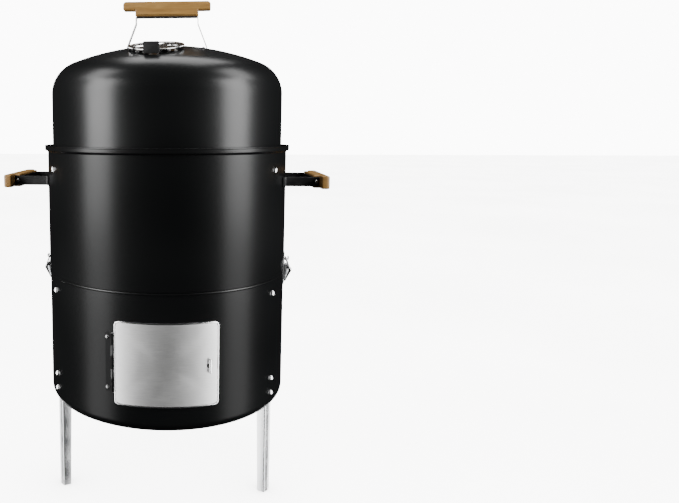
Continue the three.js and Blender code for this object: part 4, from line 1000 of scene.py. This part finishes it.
def side_handle(name, azimuth):
    """Side handle: two arms bent onto the wall, the cross strip between them, and the wooden grip."""
    low, high = corners(f"handle_grip_{name}")
    face = max(abs(low[0]), abs(high[0]))
    level = (low[2] + high[2]) / 2
    arm = GRIP_BLOCK / 2 + FIT
    cross = face - BAR_DEPTH - BLOCK_DEPTH - FIT - STRAP / 2
    section = rounded_rectangle(STRAP / 2, 16.5 / 2, 0.7, 3)
    inside = arm + STRAP / 2
    toe = inside + 15.5

    def off_wall(across, clear):
        return math.sqrt(BARREL_RADIUS ** 2 - across ** 2) + FIT + STRAP / 2 + clear

    bent = filleted([[toe, off_wall(toe, 0.2)], [inside, off_wall(inside, 0.8)],
                     [inside, face - BAR_DEPTH - FIT]], [0, 3.5, 0], 6)
    straps, screws = [], []
    for sign in (-1, 1):
        path = np.column_stack((sign * bent[:, 0], -bent[:, 1], np.full(len(bent), level)))
        straps.append(swept(path, section, (0, 0, 1)))
        head = domed([[0, -1], [2.4, -1], [2.4, 0.3], [3.4, 0.3]], -0.9, 3.6, 24, 5)
        screws.append(placed(head, (sign * (arm + STRAP), -(face - 20), level),
                             x=(0, 1, 0), y=(0, 0, 1), z=(sign, 0, 0)))
    strip = divided((-arm - 0.4, -cross, level), (arm + 0.4, -cross, level), 2)
    straps.append(swept(strip, section, (0, 0, 1)))
    finished(f"side_handle_strap_{name}", straps, "barrel", "handle_black", [f"handle_bracket_{name}"],
             azimuth)
    finished(f"side_handle_screws_{name}", screws, "barrel", "bolt_chrome", (), azimuth)
    wood = placed(grip(), (0, -face, level), x=(1, 0, 0), y=(0, -1, 0), z=(0, 0, -1))
    finished(f"side_grip_{name}", [wood], "barrel", "grip_wood", [f"handle_grip_{name}"], azimuth,
             material=side_wood)


def lid_handle():
    """Lid handle: a strap bent down to two feet on the dome, and the wooden grip on its top."""
    top = LID_HIGH[2]
    low, high = corners("lid_grip")
    cross = low[2] - FIT - STRAP / 2
    foot_at, side, bend = 74.0, GRIP_BLOCK / 2, 12.0

    def on_dome(across):
        return float(dome_height(np.array([across, 8.0]), LID_CROWN, top)) + 2 * FIT + STRAP / 2

    half = [[foot_at - 14, on_dome(foot_at - 14)], [foot_at - 0.8, on_dome(foot_at - 0.8)],
            [side - 0.8, cross - bend], [side - 0.8, cross]]
    line = half + [[-x, z] for x, z in reversed(half)]
    path = filleted(line, [0, 2.2, 6, 2.6, 2.6, 6, 2.2, 0], 6)
    path = np.column_stack((path[:, 0], np.zeros(len(path)), path[:, 1]))
    section = rounded_rectangle(STRAP / 2, 8.0, 0.7, 3)
    finished("lid_handle_band", [swept(path, section, (0, 1, 0))], "lid", "strap_steel", ["lid_handle_strap"])
    heads = []
    for sign in (-1, 1):
        head = domed([[0, 0], [3.6, 0]], -0.9, 3.8, 15, 6)
        heads.append(placed(head, (sign * (foot_at - 8), 0, on_dome(foot_at - 8) + STRAP / 2)))
    finished("lid_handle_rivets", heads, "lid", "bolt_chrome")
    finished("lid_grip_wood", [facing(grip(), level=high[2])], "lid", "grip_wood", ["lid_grip"])


def latch(name, azimuth):
    """Draw latch: a hook on the barrel, a plate with two ears, a curved lever and a wire bail."""

    def at(out, up):
        return [BARREL_RADIUS + out, SEAM + up]

    def sideways(solid):
        """Lays an outline of (outwards, up) in the plane across the wall, its depth along X."""
        return placed(solid, x=(0, -1, 0), y=(0, 0, 1), z=(-1, 0, 0))

    ledge = 15 - 1.5 - FIT
    plate = pillow(rounded_rectangle(6.5, 12, 2, 4), BARREL_RADIUS + FIT, BARREL_RADIUS + FIT + STRAP, 0.4)
    plate = facing(plate, 0, SEAM + 15)
    claw = filleted([at(FIT + 0.8, ledge - 2.6), at(FIT + 0.8, ledge - 0.8), at(9.5, ledge - 0.8),
                     at(9.5, 17.5)], [0, 0, 2.2, 0], 6)[1:]
    claw = np.column_stack((np.zeros(len(claw)), -claw[:, 0], claw[:, 1]))
    claw = swept(claw, rounded_rectangle(STRAP / 2, 6.5, 0.6, 3), (1, 0, 0))
    rivet = domed([[0, 0], [2.2, 0]], -0.8, 2.4, 20, 4)
    rivets = [facing(placed(rivet, (0, 0, BARREL_RADIUS + FIT + STRAP)), 0, SEAM + up) for up in (7.5, 22.5)]
    finished(f"latch_claw_{name}", [plate, claw, *rivets], "barrel", "latch_chrome",
             [f"latch_hook_{name}"], azimuth)

    back = BASE_RADIUS + FIT - BARREL_RADIUS
    seat = facing(pillow(rounded_rectangle(8.5, 13.5, 2, 4), BASE_RADIUS + FIT, BASE_RADIUS + FIT + 1.5, 0.4),
                  0, SEAM - 20.5)
    ear = filleted([at(back + 0.3, -24), at(3.5, -24), at(9.5, -6), at(9.5, 1), at(7.5, 4), at(3.5, 4),
                    at(1.5, 0), at(1.5, -7), at(back + 0.3, -9)],
                   [0, 3, 3, 2, 1.5, 1.5, 0.8, 0.8, 0], 4, closed=True)
    ears = [sideways(pillow(ear, depth, depth + 1.5, 0.35, 2)) for depth in (-8.5, 7)]
    plate_rivets = [facing(placed(rivet, (0, 0, BASE_RADIUS + FIT + 1.5)), across, SEAM - 29)
                    for across in (-4, 4)]
    finished(f"latch_seat_{name}", [seat, *ears, *plate_rivets], "base", "bracket_zinc",
             [f"latch_plate_{name}"], azimuth)

    pivot, bail, tip, boss = (6.5, -2), (12.5, -5.5), (2.9, -28), 3.2
    lever = filleted([
        at(pivot[0] - boss, pivot[1]), at(tip[0] + 3, pivot[1] - 9), at(tip[0] - 1.3, tip[1]),
        at(tip[0] + 1.3, tip[1]), at(bail[0] + boss * 0.9, bail[1] - 2),
        at(bail[0] + boss * 0.9, bail[1] + 1.5), at(pivot[0] + 2, pivot[1] + boss),
        at(pivot[0] - 1, pivot[1] + boss),
    ], [1.5, 4, 1.0, 1.0, 1.6, 1.6, 2, 1.5], 5, closed=True)
    lever = sideways(pillow(lever, -6, 6, 1.1, 4))
    pin = spun(np.array([[0, -8.8], [1.2, -8.8], [1.4, -8.6], [1.4, 8.6], [1.2, 8.8], [0, 8.8]]), 20)
    pin_at = at(*pivot)
    pin = placed(pin, (0, -pin_at[0], pin_at[1]), x=(0, 1, 0), y=(0, 0, 1), z=(1, 0, 0))
    finished(f"latch_lever_pressing_{name}", [lever, pin], f"latch_lever_{name}", "lever_black",
             [f"latch_lever_{name}"], azimuth)

    top, half = (5, 15), 10.5
    near, far = at(*bail), at(*top)
    path = filleted(np.array([
        [6 - 2, -near[0], near[1]], [half, -near[0], near[1]], [half, -far[0], far[1]],
        [-half, -far[0], far[1]], [-half, -near[0], near[1]], [2 - 6, -near[0], near[1]],
    ]), [0, 1.6, 3, 3, 1.6, 0], 6)
    normal = np.cross([1, 0, 0], np.array([0, near[0] - far[0], far[1] - near[1]]))
    finished(f"latch_bail_wire_{name}", [wire(path, 1.45, normal, 14)], f"latch_bail_{name}",
             "latch_chrome", [f"latch_bail_{name}"], azimuth)


base_shell()
barrel_shell()
lid_shell()
fire_door()
thumb_turn()
for place, azimuth in LEG_AZIMUTHS.items():
    leg(place, azimuth)
    for height in ("lower", "upper"):
        round_bolt(f"leg_bolt_{height}_{place}", azimuth, BASE_RADIUS, "base",
                   f"leg_round_bolt_{height}_{place}")
    round_bolt(f"bowl_bracket_bolt_{place}", azimuth, BASE_RADIUS, "base", f"bowl_round_bolt_{place}")
    round_bolt(f"grate_bracket_bolt_{place}", azimuth, BARREL_RADIUS, "barrel", f"grate_round_bolt_{place}")
for place, azimuth in SIDE_AZIMUTHS.items():
    side_handle(place, azimuth)
    latch(place, azimuth)
lid_handle()
damper()
water_bowl()
charcoal_ring()
for node, bars in (("upper_grate", 23), ("lower_grate", 23), ("charcoal_grate", 15)):
    wire_grate(node, bars)

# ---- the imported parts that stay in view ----
slots = {part["node"]: part["material_slot"] for part in frame["record"]["subparts"]}
for node, part in frame["nodes"].items():
    if not part.hide_render:
        part.data.materials.clear()
        part.data.materials.append(finishes[slots[node]])


# ---- the room, the light and the camera ----
BRIGHT = ("fire_door", "thumb_turn", "pressed_leg", "leg_round", "bowl_round", "grate_round", "damper_plate",
          "damper_rivet", "lid_handle_band", "lid_handle_rivets", "latch_claw", "latch_seat", "latch_bail",
          "side_handle_screws")
LAMP_DISTANCE = 1.7
VIEW_AZIMUTH, VIEW_DISTANCE, VIEW_HEIGHT, VIEW_DIP = 3.5, 1.191, 0.636, 6.45
# Strip lights at each side: name, share of the side's azimuth, level, height and power.
STRIPS = (("top", 1.25, 2.1, 1.0, 18), ("high", 1, 1.05, 1.1, 34),
          ("middle", 1, 0.3, 0.4, 5.5), ("low", 1, -0.4, 1.0, 4))


def pale_floor():
    """A wide level floor with a faint unevenness in its tone."""
    floor = Finish("pale_studio_floor")
    cloud = floor.noise(1.2, 3)
    floor.colour(floor.ramp(cloud, (0.3, (0.80, 0.80, 0.795)), (0.7, (0.84, 0.84, 0.835))))
    floor.roughness(floor.spread(cloud, 0.5, 0.6))
    span = np.linspace(-14, 14, 5)
    x, y = np.meshgrid(span, span)
    faces = grid_faces(5, 5, (False, False))[:, ::-1]
    mesh = bpy.data.meshes.new("studio_floor")
    points = np.stack((x, y, np.full_like(x, -0.0005)), -1).reshape(-1, 3)
    mesh.from_pydata(points.tolist(), [], faces.tolist())
    mesh.materials.append(floor.material)
    piece = bpy.data.objects.new("studio_floor", mesh)
    bpy.context.scene.collection.objects.link(piece)
    piece.visible_glossy = piece.visible_diffuse = piece.visible_shadow = False
    return piece


def lit_alone(name, pieces):
    """A collection of pieces that a light is kept to."""
    group = bpy.data.collections.new(name)
    for piece in pieces:
        group.objects.link(piece)
    return group


def softbox(name, place, target, size, power, receivers=None):
    """A rectangular light that looks from one point towards another, at all pieces or at some."""
    light = bpy.data.lights.new(name, "AREA")
    light.shape = "RECTANGLE"
    light.size, light.size_y = size
    light.energy = power
    lamp = bpy.data.objects.new(name, light)
    lamp.location = place
    away = np.array(place) - np.array(target)
    yaw = math.atan2(away[0], -away[1])
    pitch = math.atan2(math.hypot(away[0], away[1]), away[2])
    lamp.rotation_euler = (pitch, 0, yaw)
    lamp.light_linking.receiver_collection = receivers
    bpy.context.scene.collection.objects.link(lamp)


def floor_wash(floor):
    """An even light from above that falls on the floor alone."""
    sun = bpy.data.lights.new("floor_wash", "SUN")
    sun.energy, sun.angle = 36.0, 1.2
    lamp = bpy.data.objects.new("floor_wash", sun)
    bpy.context.scene.collection.objects.link(lamp)
    lamp.light_linking.receiver_collection = lit_alone("floor_wash_only", [floor])
    legs = [piece for piece in bpy.data.objects if piece.name.startswith("pressed_leg")]
    lamp.light_linking.blocker_collection = lit_alone("floor_wash_shadows", legs)


def round_the_room(azimuth, distance, height):
    """A point at a distance and an azimuth from the smoker's axis."""
    turn = math.radians(azimuth)
    return (distance * math.sin(turn), -distance * math.cos(turn), height)


def pale_room():
    """Pale surroundings for the eye, and a dimmer room for what the surfaces mirror."""
    world = bpy.data.worlds.new("pale_room")
    bpy.context.scene.world = world
    world.use_nodes = True
    nodes, links = world.node_tree.nodes, world.node_tree.links
    seen, mirrored = nodes["Background"], nodes.new("ShaderNodeBackground")
    seen.inputs["Color"].default_value = (0.93, 0.93, 0.93, 1)
    seen.inputs["Strength"].default_value = 12
    mirrored.inputs["Color"].default_value = (0.9, 0.92, 0.95, 1)
    mirrored.inputs["Strength"].default_value = 0.012
    path, mix = nodes.new("ShaderNodeLightPath"), nodes.new("ShaderNodeMixShader")
    links.new(path.outputs["Is Camera Ray"], mix.inputs["Fac"])
    links.new(mirrored.outputs[0], mix.inputs[1])
    links.new(seen.outputs[0], mix.inputs[2])
    links.new(mix.outputs[0], nodes["World Output"].inputs["Surface"])


def camera():
    """A level-framed camera at standing height, shifted so that the smoker stands left of centre."""
    view = bpy.data.cameras.new("studio_camera")
    view.sensor_width = 36
    view.lens = 34.17
    view.shift_x, view.shift_y = 0.254, -0.0759
    view.clip_end = 100
    stand = bpy.data.objects.new("studio_camera", view)
    stand.location = round_the_room(VIEW_AZIMUTH, VIEW_DISTANCE, VIEW_HEIGHT)
    stand.rotation_euler = (math.radians(90 - VIEW_DIP), 0, math.radians(VIEW_AZIMUTH))
    bpy.context.scene.collection.objects.link(stand)
    bpy.context.scene.camera = stand


floor = pale_floor()
pale_room()
metal = lit_alone("bright_metal", [piece for piece in bpy.data.objects if piece.name.startswith(BRIGHT)])
painted = lit_alone("dark_and_wooden", [piece for piece in bpy.data.objects if piece.type == "MESH"
                                        and piece is not floor and not piece.name.startswith(BRIGHT)])
for side, azimuth in (("left", -60), ("right", 69)):
    for part, out, level, height, power in STRIPS:
        softbox(f"{side}_{part}_strip", round_the_room(azimuth * out, LAMP_DISTANCE, level),
                (0, 0, min(level, 0.8)), (0.8, height), power, painted)
for name, azimuth in (("left_metal", -62), ("right_metal", 64),
                      ("left_back_metal", -125), ("right_back_metal", 125)):
    softbox(name, round_the_room(azimuth, LAMP_DISTANCE, 0.3), (0, 0, 0.3), (1.2, 3.0), 90, metal)
softbox("overhead", (0.1, 0.5, 2.6), (0, 0, 0.3), (1.6, 1.2), 30)
floor_wash(floor)
camera()
